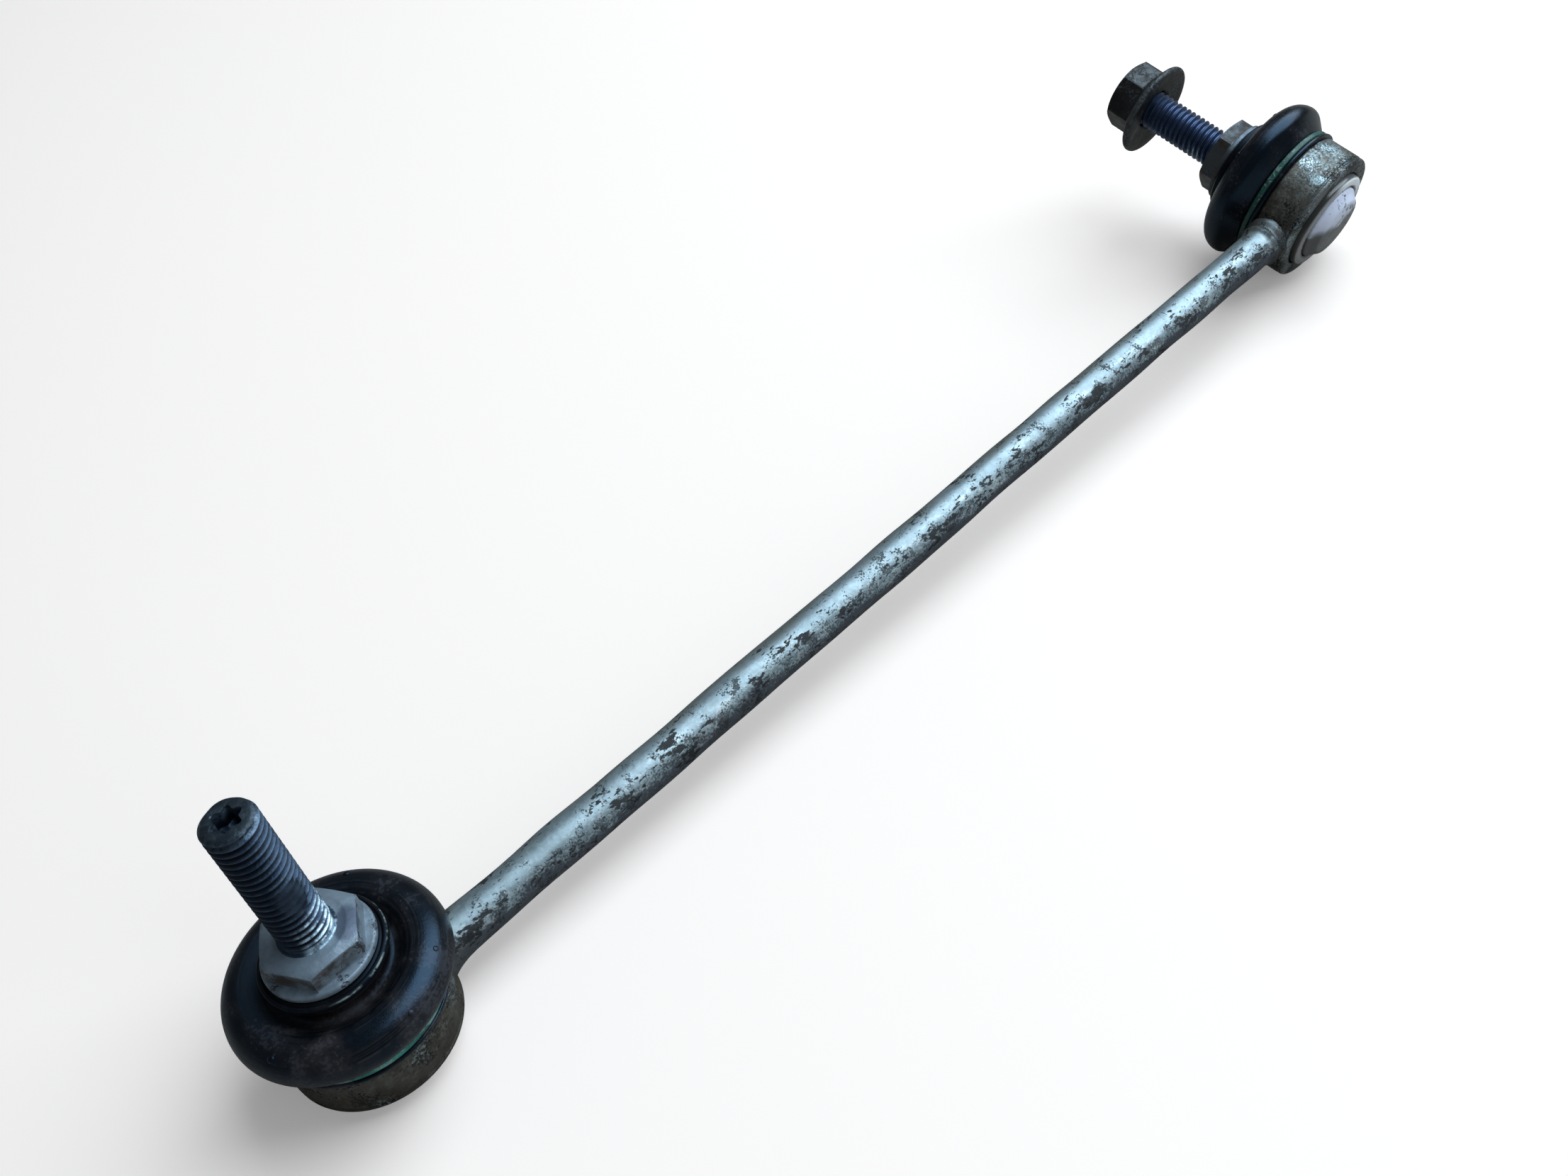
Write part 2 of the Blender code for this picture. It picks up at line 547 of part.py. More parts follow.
def nut_body_profile():
    """Closed half section of the nut without its hexagon: flange, cone, core and bore."""
    ring_floor = LOCK_RING_BOTTOM - FIT_GAP
    flange_top = NUT_FACE + NUT_FLANGE_THICKNESS
    dish = NUT_FACE + NUT_DISH_DEPTH
    points = [(NUT_CORE_RADIUS, NUT_END), (NUT_CORE_RADIUS, flange_top + NUT_CONE_HEIGHT)]
    points += [(NUT_FLANGE_RADIUS, flange_top), (NUT_FLANGE_RADIUS, NUT_FACE + NUT_FLANGE_EDGE)]
    points += [(NUT_FLANGE_RADIUS - NUT_FLANGE_EDGE, NUT_FACE), (NUT_FLANGE_RADIUS - NUT_FACE_WIDTH, NUT_FACE)]
    points += [(NUT_DISH_FLOOR_RADIUS, dish), (NUT_BORE_RADIUS + NUT_COUNTERSINK, dish)]
    points += [(NUT_BORE_RADIUS, dish + NUT_COUNTERSINK)]
    points += [(NUT_BORE_RADIUS, ring_floor), (LOCK_RING_POCKET_RADIUS, ring_floor)]
    points += [(LOCK_RING_POCKET_RADIUS, NUT_END)]
    return points


def nut_hex(group, parent, plain):
    """The nut's hexagon with its outer corners trimmed and its middle cleared for the turned body."""
    bottom = NUT_FACE + NUT_FLANGE_THICKNESS / 2.0
    prism = hex_prism("nut_hex", NUT_ACROSS_FLATS, bottom, NUT_END, group, parent)
    envelope = chamfer_envelope(
        "nut_hex_chamfer", NUT_ACROSS_FLATS, bottom - NUT_CHAMFER, NUT_END, NUT_CHAMFER, group, parent, plain)
    add_boolean(prism, envelope, "INTERSECT")
    inner = (LOCK_RING_POCKET_RADIUS + NUT_CORE_RADIUS) / 2.0
    top = NUT_END + NUT_CHAMFER
    base = bottom - NUT_CHAMFER
    core = as_cutter(turned_piece(
        "nut_hex_core", [(0.0, top), (inner, top), (inner, base), (0.0, base)], False, FINE_STEPS, plain, group,
        parent))
    add_boolean(prism, core, "DIFFERENCE")
    return prism


def flange_nut(surfaces, group, cutters, parent):
    """Flange nut on the far stud, with the lock ring in its outer end."""
    nut = turned_piece("flange_nut", nut_body_profile(), True, FINE_STEPS, surfaces["nut"], group, parent)
    add_boolean(nut, nut_hex(cutters, parent, surfaces["nut"]), "UNION")
    ring = ring_profile(NUT_BORE_RADIUS, LOCK_RING_WALL, LOCK_RING_BOTTOM, LOCK_RING_HEIGHT)
    turned_piece("nut_lock_ring", ring, True, PLAIN_STEPS, surfaces["nylon"], group, parent)
    return nut


def joint_centre(name, group, matrix):
    """The empty at a ball's centre, its Z along the stud and its X along the rod."""
    centre = bpy.data.objects.new(name, None)
    centre.empty_display_size = BALL_RADIUS
    centre.matrix_world = matrix
    group.objects.link(centre)
    return centre


def surface_set():
    """One material for each kind of surface on the link."""
    return {
        "rod": material("zinc_plated_rod", (0.42, 0.46, 0.46), 0.42, 0.85),
        "housing": material("worn_steel_housing", (0.27, 0.26, 0.24), 0.50, 0.80),
        "plastic": material("white_bearing_plastic", (0.82, 0.82, 0.80), 0.38, 0.0),
        "stud": material("blue_grey_stud", (0.20, 0.25, 0.33), 0.40, 0.85),
        "collar": material("dark_seal_collar", (0.05, 0.05, 0.055), 0.45, 0.0),
        "rubber": material("black_boot_rubber", (0.018, 0.020, 0.024), 0.42, 0.0),
        "ring": material("green_boot_ring", (0.02, 0.20, 0.15), 0.40, 0.0),
        "spring": material("spring_steel_ring", (0.45, 0.46, 0.47), 0.35, 0.90),
        "nut": material("dark_flange_nut", (0.13, 0.12, 0.115), 0.45, 0.80),
        "nylon": material("nylon_lock_ring", (0.70, 0.72, 0.74), 0.45, 0.0),
    }


def build_link():
    """Model the whole link."""
    clear_scene()
    parts = collection("stabilizer_link")
    cutters = collection("construction")
    surfaces = surface_set()
    half_turn = Matrix.Rotation(math.pi, 4, "Z")
    twist = Matrix.Rotation(-STUD_TWIST, 4, "X")
    far_place = Matrix.Translation(Vector((BALL_SPACING, 0.0, 0.0))) @ twist @ half_turn
    parents = {
        "near": joint_centre("near_ball_centre", parts, Matrix.Identity(4)),
        "far": joint_centre("far_ball_centre", parts, far_place),
    }
    for end, parent in parents.items():
        ball_joint(end, surfaces, parts, cutters, parent)
    link_rod(surfaces, parts, cutters, parents)
    flange_nut(surfaces, parts, cutters, parents["far"])


build_link()
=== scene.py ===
"""Looks of the stabilizer link: finer pieces with their finishes on the link's CAD frame, and a studio for it.

The pieces are modelled in millimetres in the axes of their own ball joint, with Z along the stud and X towards
the other ball, and are then put in their place in the frame, which is in metres.
"""

import json
import math
from functools import cached_property, partialmethod

import bmesh
import bpy
from mathutils import Matrix, Vector, noise


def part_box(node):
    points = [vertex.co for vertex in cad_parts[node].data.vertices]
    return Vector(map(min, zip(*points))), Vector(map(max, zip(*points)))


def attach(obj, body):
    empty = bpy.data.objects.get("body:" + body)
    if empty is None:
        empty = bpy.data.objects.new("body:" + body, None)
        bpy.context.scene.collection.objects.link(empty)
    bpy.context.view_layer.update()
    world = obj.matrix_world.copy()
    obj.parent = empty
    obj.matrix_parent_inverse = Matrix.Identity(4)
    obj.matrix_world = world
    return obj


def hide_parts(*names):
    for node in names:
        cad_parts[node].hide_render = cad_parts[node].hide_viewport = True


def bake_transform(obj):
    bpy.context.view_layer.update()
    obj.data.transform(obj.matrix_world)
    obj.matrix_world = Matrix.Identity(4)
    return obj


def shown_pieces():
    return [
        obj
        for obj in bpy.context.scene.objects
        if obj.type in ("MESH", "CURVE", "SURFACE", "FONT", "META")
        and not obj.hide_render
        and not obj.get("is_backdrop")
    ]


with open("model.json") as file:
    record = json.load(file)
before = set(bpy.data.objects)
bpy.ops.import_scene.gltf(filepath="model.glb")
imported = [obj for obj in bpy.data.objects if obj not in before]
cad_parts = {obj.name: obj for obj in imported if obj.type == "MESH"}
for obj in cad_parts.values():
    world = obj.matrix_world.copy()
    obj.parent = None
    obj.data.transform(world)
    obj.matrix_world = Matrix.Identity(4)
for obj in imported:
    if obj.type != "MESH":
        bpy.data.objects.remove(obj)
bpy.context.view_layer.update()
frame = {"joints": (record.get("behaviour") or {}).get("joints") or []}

bl_info = {
    "name": "Stabilizer link",
    "version": (1, 0, 0),
    "blender": (4, 5, 0),
    "location": "View3D > Sidebar > Stabilizer link",
    "description": "Models the visible pieces of a stabilizer link and a studio to show it in",
    "category": "Mesh",
}

MM = 1000.0

# Where the joints lie in the frame
JOINTS = {joint["name"]: joint for joint in frame["joints"]}
FAR_CENTRE = Vector(JOINTS["far_stud_spin"]["pos_m"])
FAR_AXIS = Vector(JOINTS["far_stud_spin"]["axis"]).normalized()
SPACING = FAR_CENTRE.x * MM

# Heights along a stud, in millimetres from its ball's centre
HOUSING_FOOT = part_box("near_housing")[0].z * MM
HOUSING_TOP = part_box("near_housing")[1].z * MM
HOUSING_SHOULDER = 4.9
GROOVE_TOP = 7.7
SEAT_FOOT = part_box("near_ball_seat")[0].z * MM
SEAT_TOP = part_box("near_ball_seat")[1].z * MM
CAP_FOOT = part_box("near_end_cap")[0].z * MM
CAP_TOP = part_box("near_end_cap")[1].z * MM
BULGE_HEIGHT = 13.0
SADDLE_HEIGHT = 15.92
NECK_RING_HEIGHT = 16.87
COLLAR_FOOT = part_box("near_seal_collar")[0].z * MM
FLANGE_FOOT = 21.32
FLANGE_TOP = 22.72
HEXAGON_TOP = 27.42
SHANK_FOOT = HEXAGON_TOP + 0.35
THREAD_FOOT = HEXAGON_TOP + 0.5
STUD_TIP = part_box("near_ball_stud")[1].z * MM
NUT_FACE = 48.42
NUT_END = 58.62

# Sizes of hidden or small features, in millimetres
BALL_RADIUS = 8.0
BALL_FLAT = 2.2
NECK_RADIUS = 4.9
NECK_TOP = 8.82
HUB_RADIUS = 6.0
HUB_FOOT = 13.32
CAVITY_RADIUS = 8.3
BOOT_WALL = 1.4
BOOT_UNDERSIDE_RADIUS = 2.8
EDGE_ROUNDING = 0.30
THREAD_RUN_OUT = 0.6
THREAD_CHAMFER = 1.15
CHAMFER_WIDTH = 1.5
CHAMFER_DROP = 0.9
STUD_CHAMFER_SLOPE = math.tan(math.radians(18.0))
NUT_CHAMFER_SLOPE = math.tan(math.radians(30.0))
NUT_RIM_INSET = 0.25
BORE_RADIUS = 5.23
NUT_CONE_FOOT = 1.4
NUT_CONE_HEIGHT = 2.8
NUT_DISH = 0.45
LOCK_POCKET_RADIUS = 6.93
LOCK_POCKET_FLOOR = 55.72

# Facets
ROUND_STEPS = 120
THREAD_STEPS = 72
ROD_STEPS = 64
ROUNDING_STEPS = 3
TOUCH = 0.0005

# Blue of the sheen on the dark rubber and plastic
SHEEN_TINT = (0.36, 0.64, 1.0, 1.0)

# What the camera sees beyond the lit floor
BACKDROP = (0.94, 0.95, 0.96)

# Half the floor's width in metres, and where it fades into the backdrop in millimetres
FLOOR_REACH = 3.0
FLOOR_FADE = (700.0, 1100.0)

# Camera of the photograph in the frame, in metres, and the lights round the point that they face
CAMERA_PLACE = Vector((-0.01405, -0.18677, 0.23793))
CAMERA_RIGHT = Vector((0.7048, -0.6866, -0.1783))
CAMERA_UP = Vector((0.5872, 0.4235, 0.6898))
CAMERA_LOOK = Vector((0.3981, 0.5909, -0.7017))
LIT_POINT = Vector((0.149, 0.010, 0.010))
KEY_OFFSET = Vector((0.96, -0.24, 1.26))
FILL_OFFSET = Vector((0.12, -1.14, 0.36))
LIGHT_TINT = (0.76, 0.90, 1.0)
SKY_TINT = (0.90, 0.95, 1.0)

# Attribute of a mesh that keeps each point's place in its joint's own axes
OWN_PLACE = "own_place"


def half_width(node):
    """Half of a near piece's width along the rod, in metres."""
    low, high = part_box(node)
    return (high.x - low.x) / 2.0


def length(title, description, default):
    """A length that a user can change."""
    return bpy.props.FloatProperty(
        name=title, description=description, default=default, min=0.0, precision=5, unit="LENGTH")


def colour(title, description, default):
    """A colour that a user can change."""
    return bpy.props.FloatVectorProperty(
        name=title, description=description, default=default, min=0.0, max=1.0, size=3, subtype="COLOR")


class LinkSizes(bpy.types.PropertyGroup):
    """Sizes of the link's visible pieces"""

    rod_radius: length("Rod radius", "Half the thickness of the round rod", 0.00465)
    weld_swell: length("Weld swell", "How far the rod's ends swell at the welds", 0.0016)
    housing_radius: length("Housing radius", "Half the width of a joint's housing", half_width("near_housing"))
    boot_radius: length("Boot radius", "Half the width of a boot's bulge", half_width("near_boot"))
    bulge_radius: length("Bulge radius", "Radius of the boot's round bulge in section", 0.0048)
    collar_radius: length("Collar radius", "Half the width of a seal collar", half_width("near_seal_collar"))
    flange_radius: length("Stud flange radius", "Half the width of a stud's flange", 0.0104)
    hexagon_flats: length("Stud hexagon", "Width over the flats of a stud's hexagon", 0.017)
    shank_radius: length("Shank radius", "Radius of the thread's crests", 0.00493)
    thread_pitch: length("Thread pitch", "Distance between two crests of the thread", 0.0015)
    thread_depth: length("Thread depth", "Depth of the thread from crest to root", 0.00082)
    nut_flats: length("Nut hexagon", "Width over the flats of the flange nut", 0.016)
    nut_flange_radius: length("Nut flange radius", "Half the width of the nut's flange", 0.0123)


class LinkColours(bpy.types.PropertyGroup):
    """Colours of the link's finishes"""

    rod_zinc: colour("Rod plating", "Pale zinc on the rod", (0.37, 0.47, 0.52))
    # Painted shade: the dull olive colour along the rod's upper edge.
    rod_film: colour("Rod film", "Dull film along one side of the rod", (0.11, 0.115, 0.095))
    pit_brown: colour("Pits", "Dark pits in the plating", (0.010, 0.010, 0.011))
    housing_steel: colour("Housing steel", "Dull steel of the housings", (0.125, 0.118, 0.100))
    housing_bright: colour("Housing patches", "Bright patches on the housings", (0.46, 0.58, 0.60))
    rust: colour("Rust", "Rust stains", (0.075, 0.030, 0.012))
    plastic_white: colour("End caps", "Plastic of the end caps", (0.72, 0.75, 0.90))
    seat_white: colour("Bearing seats", "Plastic of the bearing seats", (0.96, 0.98, 1.0))
    stud_blue: colour("Stud phosphate", "Dark blue-grey of the threads", (0.020, 0.038, 0.072))
    stud_worn: colour("Worn crests", "Bare metal on the thread's crests", (0.072, 0.118, 0.185))
    hexagon_zinc: colour("Hexagon zinc", "Pale blue-grey of the stud's hexagon", (0.25, 0.32, 0.39))
    # Brown dirt of the hexagon's sides, also laid as painted shade on the far hexagon's lower side.
    hexagon_dirt_and_shade: colour("Hexagon dirt", "Brown dirt on the hexagon's sides", (0.026, 0.021, 0.017))
    ball_steel: colour("Ball steel", "Polished steel of the hidden ball", (0.62, 0.63, 0.64))
    collar_black: colour("Collar", "Dark plastic of the seal collars", (0.005, 0.006, 0.008))
    rubber_black: colour("Rubber", "Black rubber of the boots", (0.0028, 0.0036, 0.0052))
    dust: colour("Dust", "Dust on the rubber", (0.040, 0.035, 0.032))
    ring_green: colour("Base ring", "Green rings round the boots' feet", (0.025, 0.25, 0.21))
    wire_steel: colour("Wire ring", "Steel rings round the boots' necks", (0.45, 0.46, 0.47))
    nut_steel: colour("Nut plating", "Weathered dark plating of the nut", (0.012, 0.012, 0.014))
    # Pale worn places, also laid as the painted highlights on the nut's upper facet and flange rim.
    nut_bright: colour("Nut wear", "Pale worn places on the nut", (0.24, 0.29, 0.32))
    nylon: colour("Nylon", "Lock ring in the nut", (0.62, 0.64, 0.66))


class LinkStudio(bpy.types.PropertyGroup):
    """Camera and lights that show the link"""

    lens: bpy.props.FloatProperty(
        name="Lens", description="Focal length of the camera in millimetres", default=35.78, min=10.0)
    key_power: bpy.props.FloatProperty(
        name="Key light", description="Power of the large soft light", default=38.0, min=0.0, unit="POWER")
    fill_power: bpy.props.FloatProperty(
        name="Fill light", description="Power of the weak light from the side", default=3.6, min=0.0, unit="POWER")
    sky_strength: bpy.props.FloatProperty(
        name="Sky", description="Strength of the light from all round", default=0.10, min=0.0)
    floor: colour("Floor", "Colour of the plain floor", (1.0, 0.86, 0.78))
    floor_glow: colour("Floor's glow", "Evens out the floor for the camera alone", (0.21, 0.21, 0.215))
    floor_bounce: colour("Floor's bounce", "Colour of the light that the floor sends back", (0.34, 0.31, 0.28))


def millimetres(context):
    """The link's sizes in millimetres, by name."""
    sizes = context.scene.link_sizes
    return {name: getattr(sizes, name) * MM for name in LinkSizes.__annotations__}


# Modelling


def joint_matrix(end):
    """From a joint's own axes in millimetres to the frame in metres."""
    scale = Matrix.Scale(1.0 / MM, 4)
    if end == "near":
        return scale
    along = Vector((-1.0, 0.0, 0.0))
    across = FAR_AXIS.cross(along)
    turn = Matrix((along, across, FAR_AXIS)).transposed().to_4x4()
    return Matrix.Translation(FAR_CENTRE) @ turn @ scale


def arc(centre_radius, centre_height, radius, start, end, count):
    """Corners on an arc of the outline, its angles in degrees from straight outwards."""
    corners = []
    for index in range(count + 1):
        angle = math.radians(start + (end - start) * index / count)
        corners.append((centre_radius + radius * math.cos(angle), centre_height + radius * math.sin(angle), 0.0))
    return corners


def outline_edges(shape, corners):
    """The outline of a turned piece as edges. A corner is its radius, its height and the size of its rounding."""
    points = [shape.verts.new((radius, 0.0, height)) for radius, height, rounding in corners]
    shape.faces.new(points)
    for size in sorted({corner[2] for corner in corners} - {0.0}):
        chosen = [point for point, corner in zip(points, corners) if corner[2] == size]
        bmesh.ops.bevel(
            shape, geom=chosen, offset=size, offset_type="OFFSET", segments=ROUNDING_STEPS, profile=0.5,
            affect="VERTICES", material=-1)
    bmesh.ops.delete(shape, geom=shape.faces[:], context="FACES_ONLY")
    on_axis = [edge for edge in shape.edges if all(vert.co.x < TOUCH for vert in edge.verts)]
    bmesh.ops.delete(shape, geom=on_axis, context="EDGES")


def turned(corners, steps=ROUND_STEPS):
    """Turn a rounded outline once round Z."""
    shape = bmesh.new()
    outline_edges(shape, corners)
    bmesh.ops.spin(
        shape, geom=shape.verts[:] + shape.edges[:], cent=(0, 0, 0), axis=(0, 0, 1), dvec=(0, 0, 0),
        angle=math.tau, steps=steps, use_merge=True, use_duplicate=False)
    bmesh.ops.remove_doubles(shape, verts=shape.verts, dist=TOUCH)
    bmesh.ops.recalc_face_normals(shape, faces=shape.faces)
    return shape


def mesh_of(name, shape):
    """The mesh of a shape, which is given up."""
    mesh = bpy.data.meshes.new(name)
    shape.to_mesh(mesh)
    shape.free()
    return mesh


def new_object(name, data):
    """A new object in the scene."""
    item = bpy.data.objects.new(name, data)
    bpy.context.scene.collection.objects.link(item)
    return item


def rotate(shape, verts, angle, axis):
    """Turn points about one of the axes."""
    bmesh.ops.rotate(shape, verts=verts, cent=(0, 0, 0), matrix=Matrix.Rotation(angle, 3, axis))


def extend(shape, ring):
    """Extrude a ring of edges where it is, and give the new points and edges."""
    made = bmesh.ops.extrude_edge_only(shape, edges=ring)["geom"]
    verts = [item for item in made if isinstance(item, bmesh.types.BMVert)]
    edges = [item for item in made if isinstance(item, bmesh.types.BMEdge)]
    return verts, edges


def join(shape, other):
    """Add another shape's mesh to this one."""
    mesh = mesh_of("joined", other)
    shape.from_mesh(mesh)
    bpy.data.meshes.remove(mesh)


def open_edges(shape, low, high):
    """The open edges of a shape between two heights."""
    return [edge for edge in shape.edges
            if edge.is_boundary and all(low < vert.co.z < high for vert in edge.verts)]


def stitch(shape, lower, upper):
    """Close the gap between two open rings of edges, paired by their direction from the axis."""
    rings = []
    for edges in (lower, upper):
        corners = {vert for edge in edges for vert in edge.verts}
        ring = sorted((math.atan2(vert.co.y, vert.co.x), vert.index, vert) for vert in corners)
        first = ring[0]
        rings.append([(item[0], item[2]) for item in ring] + [(first[0] + math.tau, first[2])])
    one, other = rings
    here = 0
    there = 0
    while here < len(one) - 1 or there < len(other) - 1:
        last_there = there == len(other) - 1
        if last_there or (here < len(one) - 1 and one[here + 1][0] <= other[there + 1][0]):
            shape.faces.new((one[here][1], one[here + 1][1], other[there][1]))
            here += 1
        else:
            shape.faces.new((one[here][1], other[there + 1][1], other[there][1]))
            there += 1


def hexagon_radius(angle, flats):
    """Distance from the middle to a hexagon's side, its corners on the X axis."""
    sixth = math.pi / 3.0
    return flats / 2.0 / math.cos(angle % sixth - sixth / 2.0)


def shape_hexagon(shape, row, flats, cone):
    """Move a ring of a turned piece out to a hexagon, its height on a cone round the piece."""
    ring_radius, ring_height = row
    rim_radius, rim_height, slope = cone
    for vert in shape.verts:
        radius = math.hypot(vert.co.x, vert.co.y)
        if abs(radius - ring_radius) > TOUCH or abs(vert.co.z - ring_height) > TOUCH:
            continue
        angle = math.atan2(vert.co.y, vert.co.x)
        wide = hexagon_radius(angle + 1e-6, flats)
        vert.co = (wide * math.cos(angle), wide * math.sin(angle), rim_height + slope * (rim_radius - wide))


def soften_edges(shape, low, high, inner, width):
    """Round the sharp edges between two heights, outside a radius."""
    chosen = []
    for edge in shape.edges:
        middle = (edge.verts[0].co + edge.verts[1].co) / 2.0
        inside = low < middle.z < high and math.hypot(middle.x, middle.y) > inner
        if inside and edge.is_manifold and edge.calc_face_angle() > math.radians(17.0):
            chosen.append(edge)
    bmesh.ops.bevel(
        shape, geom=chosen, offset=width, offset_type="OFFSET", segments=2, profile=0.5, affect="EDGES",
        clamp_overlap=True, material=-1)


def helical_thread(crest, depth, pitch, low, high):
    """A right-hand thread between two heights, open at both, its rows following the helix."""
    shape = bmesh.new()
    root = crest - depth
    tooth = ((0.0, root), (0.10, root), (0.22, root + depth * 0.32), (0.34, root + depth * 0.70), (0.44, crest),
             (0.56, crest), (0.66, root + depth * 0.70), (0.78, root + depth * 0.32), (0.90, root))
    start = low - 1.5 * pitch
    turns = math.ceil((high - low) / pitch) + 3
    row = [shape.verts.new((radius, 0.0, start + (turn + share) * pitch))
           for turn in range(turns) for share, radius in tooth]
    for lower, upper in zip(row, row[1:]):
        shape.edges.new((lower, upper))
    bmesh.ops.spin(
        shape, geom=shape.verts[:] + shape.edges[:], cent=(0, 0, 0), axis=(0, 0, 1),
        dvec=(0, 0, pitch / THREAD_STEPS), angle=math.tau, steps=THREAD_STEPS, use_merge=False)
    bmesh.ops.remove_doubles(shape, verts=shape.verts, dist=TOUCH)
    for height, outer, inner in ((low, False, True), (high, True, False)):
        bmesh.ops.bisect_plane(
            shape, geom=shape.verts[:] + shape.edges[:] + shape.faces[:], dist=TOUCH, plane_co=(0, 0, height),
            plane_no=(0, 0, 1), clear_outer=outer, clear_inner=inner)
    return shape


def fade_thread(shape, crest, low, high, run_out, chamfer):
    """Run the thread out at its foot and chamfer it at the stud's tip."""
    bmesh.ops.bisect_plane(
        shape, geom=shape.verts[:] + shape.edges[:] + shape.faces[:], dist=TOUCH,
        plane_co=(0, 0, high - chamfer), plane_no=(0, 0, 1))
    for vert in shape.verts:
        radius = math.hypot(vert.co.x, vert.co.y)
        share = min(max((vert.co.z - low) / run_out, 0.0), 1.0)
        wanted = crest + (radius - crest) * share * share
        rise = min(max((vert.co.z - (high - chamfer)) / chamfer, 0.0), 1.0)
        wanted = min(wanted, crest - chamfer * (1.0 - math.sqrt(1.0 - rise * rise * 0.97)))
        vert.co.x *= wanted / radius
        vert.co.y *= wanted / radius


def fill_thread(shape, crest, degrees, height):
    """Fill the thread with dried paint in a small patch on one side."""
    patch_degrees = 42.0
    patch_height = 5.0
    for vert in shape.verts:
        radius = math.hypot(vert.co.x, vert.co.y)
        turn = math.degrees(math.atan2(vert.co.y, vert.co.x)) - degrees
        turn = (turn + 180.0) % 360.0 - 180.0
        away = math.hypot(turn / patch_degrees, (vert.co.z - height) / patch_height)
        share = min(max((1.15 - away) / 0.6, 0.0), 1.0)
        wanted = radius + (crest - 0.06 - radius) * 0.9 * share * share * (3.0 - 2.0 * share)
        vert.co.x *= wanted / radius
        vert.co.y *= wanted / radius


def key_socket(shape, tip):
    """Close the stud's tip with a six-lobe key socket that has a drilled floor."""
    mouth_radius = 2.55
    lobe = 0.40
    rim = open_edges(shape, tip - TOUCH, tip + TOUCH)
    made = bmesh.ops.create_circle(shape, cap_ends=False, radius=mouth_radius, segments=ROUND_STEPS)
    circle = made["verts"]
    for vert in circle:
        angle = math.atan2(vert.co.y, vert.co.x)
        radius = mouth_radius + lobe * math.cos(6.0 * angle)
        vert.co = (radius * math.cos(angle), radius * math.sin(angle), tip)
    mouth = list({edge for vert in circle for edge in vert.link_edges})
    stitch(shape, rim, mouth)
    ring = mouth
    for shrink, drop in ((0.94, 0.18), (0.995, 3.2), (0.9, 0.15)):
        verts, ring = extend(shape, ring)
        bmesh.ops.scale(shape, verts=verts, vec=(shrink, shrink, 1.0))
        bmesh.ops.translate(shape, verts=verts, vec=(0.0, 0.0, -drop))
    floor = bmesh.ops.edgeloop_fill(shape, edges=ring)["faces"]
    point = bmesh.ops.poke(shape, faces=floor, offset=0.0)["verts"]
    bmesh.ops.translate(shape, verts=point, vec=(0.0, 0.0, -0.3))


def add_piece(name, shape, matrix, surfaces, nodes, sharp=32.0):
    """Make a finished object of a shape, with its place in its mesh and its own axes kept as an attribute."""
    mesh = mesh_of(name, shape)
    places = mesh.attributes.new(OWN_PLACE, "FLOAT_VECTOR", "POINT")
    places.data.foreach_set("vector", [value for vert in mesh.vertices for value in vert.co])
    mesh.transform(matrix)
    mesh.shade_smooth()
    mesh.set_sharp_from_angle(angle=math.radians(sharp))
    for surface in surfaces:
        mesh.materials.append(surface)
    piece = new_object(name, mesh)
    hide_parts(*nodes)
    return piece


# Values and layers of the finishes


class Value:
    """A number, a vector or a colour in a node tree, so that sums on it are written as in plain Python."""

    def __init__(self, tree, socket):
        self.tree = tree
        self.socket = socket

    def sum(self, operation, first, second=0.0):
        """The result of one sum on two numbers."""
        return add(self.tree, "Math", {0: first, 1: second}, operation=operation)

    def __add__(self, other):
        return self.sum("ADD", self, other)

    def __sub__(self, other):
        return self.sum("SUBTRACT", self, other)

    def __mul__(self, other):
        return self.sum("MULTIPLY", self, other)

    def __truediv__(self, other):
        return self.sum("DIVIDE", self, other)

    def __radd__(self, other):
        return self.sum("ADD", other, self)

    def __rsub__(self, other):
        return self.sum("SUBTRACT", other, self)

    def __rtruediv__(self, other):
        return self.sum("DIVIDE", other, self)

    def __abs__(self):
        return self.sum("ABSOLUTE", self)

    def most(self, other):
        """The greater of two numbers."""
        return self.sum("MAXIMUM", self, other)

    def span(self, low, high, to_low=0.0, to_high=1.0):
        """A number eased from one span to another."""
        inputs = {"Value": self, "From Min": low, "From Max": high, "To Min": to_low, "To Max": to_high}
        return add(self.tree, "MapRange", inputs, interpolation_type="SMOOTHSTEP")

    def parts(self):
        """The X, Y and Z of a vector."""
        first = add(self.tree, "SeparateXYZ", {0: self})
        return [Value(self.tree, socket) for socket in first.socket.node.outputs]

    def vector(self, operation, other=(0.0, 0.0, 0.0), output="Vector"):
        """The result of one sum on two vectors."""
        return add(self.tree, "VectorMath", {0: self, 1: other}, output, operation=operation)

    def length(self):
        """The length of a vector."""
        return self.vector("LENGTH", output="Value")

    def toward(self, plane, direction):
        """How squarely the outside of a round piece faces one way, from -1 to 1."""
        outward = self.vector("MULTIPLY", plane).vector("NORMALIZE")
        return outward.vector("DOT_PRODUCT", direction, "Value")

    def mapped(self, vector_type="POINT", **inputs):
        """A place moved, turned or scaled by a mapping node."""
        return add(self.tree, "Mapping", {"Vector": self, **inputs}, vector_type=vector_type)


def connect(tree, node, inputs):
    """Give a value to each named input of a node."""
    for key, value in inputs.items():
        if isinstance(value, Value):
            tree.links.new(value.socket, node.inputs[key])
        else:
            node.inputs[key].default_value = value


def add(tree, kind, inputs=(), output=0, **settings):
    """Add a shader node and give the value of one of its outputs."""
    node = tree.nodes.new("ShaderNode" + kind)
    for key, value in settings.items():
        setattr(node, key, value)
    connect(tree, node, dict(inputs))
    return Value(tree, node.outputs[output])


def mix(tree, mask, below, above):
    """One colour laid over another where the mask is white."""
    colours = [value if isinstance(value, Value) else (*value, 1.0) for value in (below, above)]
    return add(tree, "Mix", {0: mask, 6: colours[0], 7: colours[1]}, 2, data_type="RGBA")


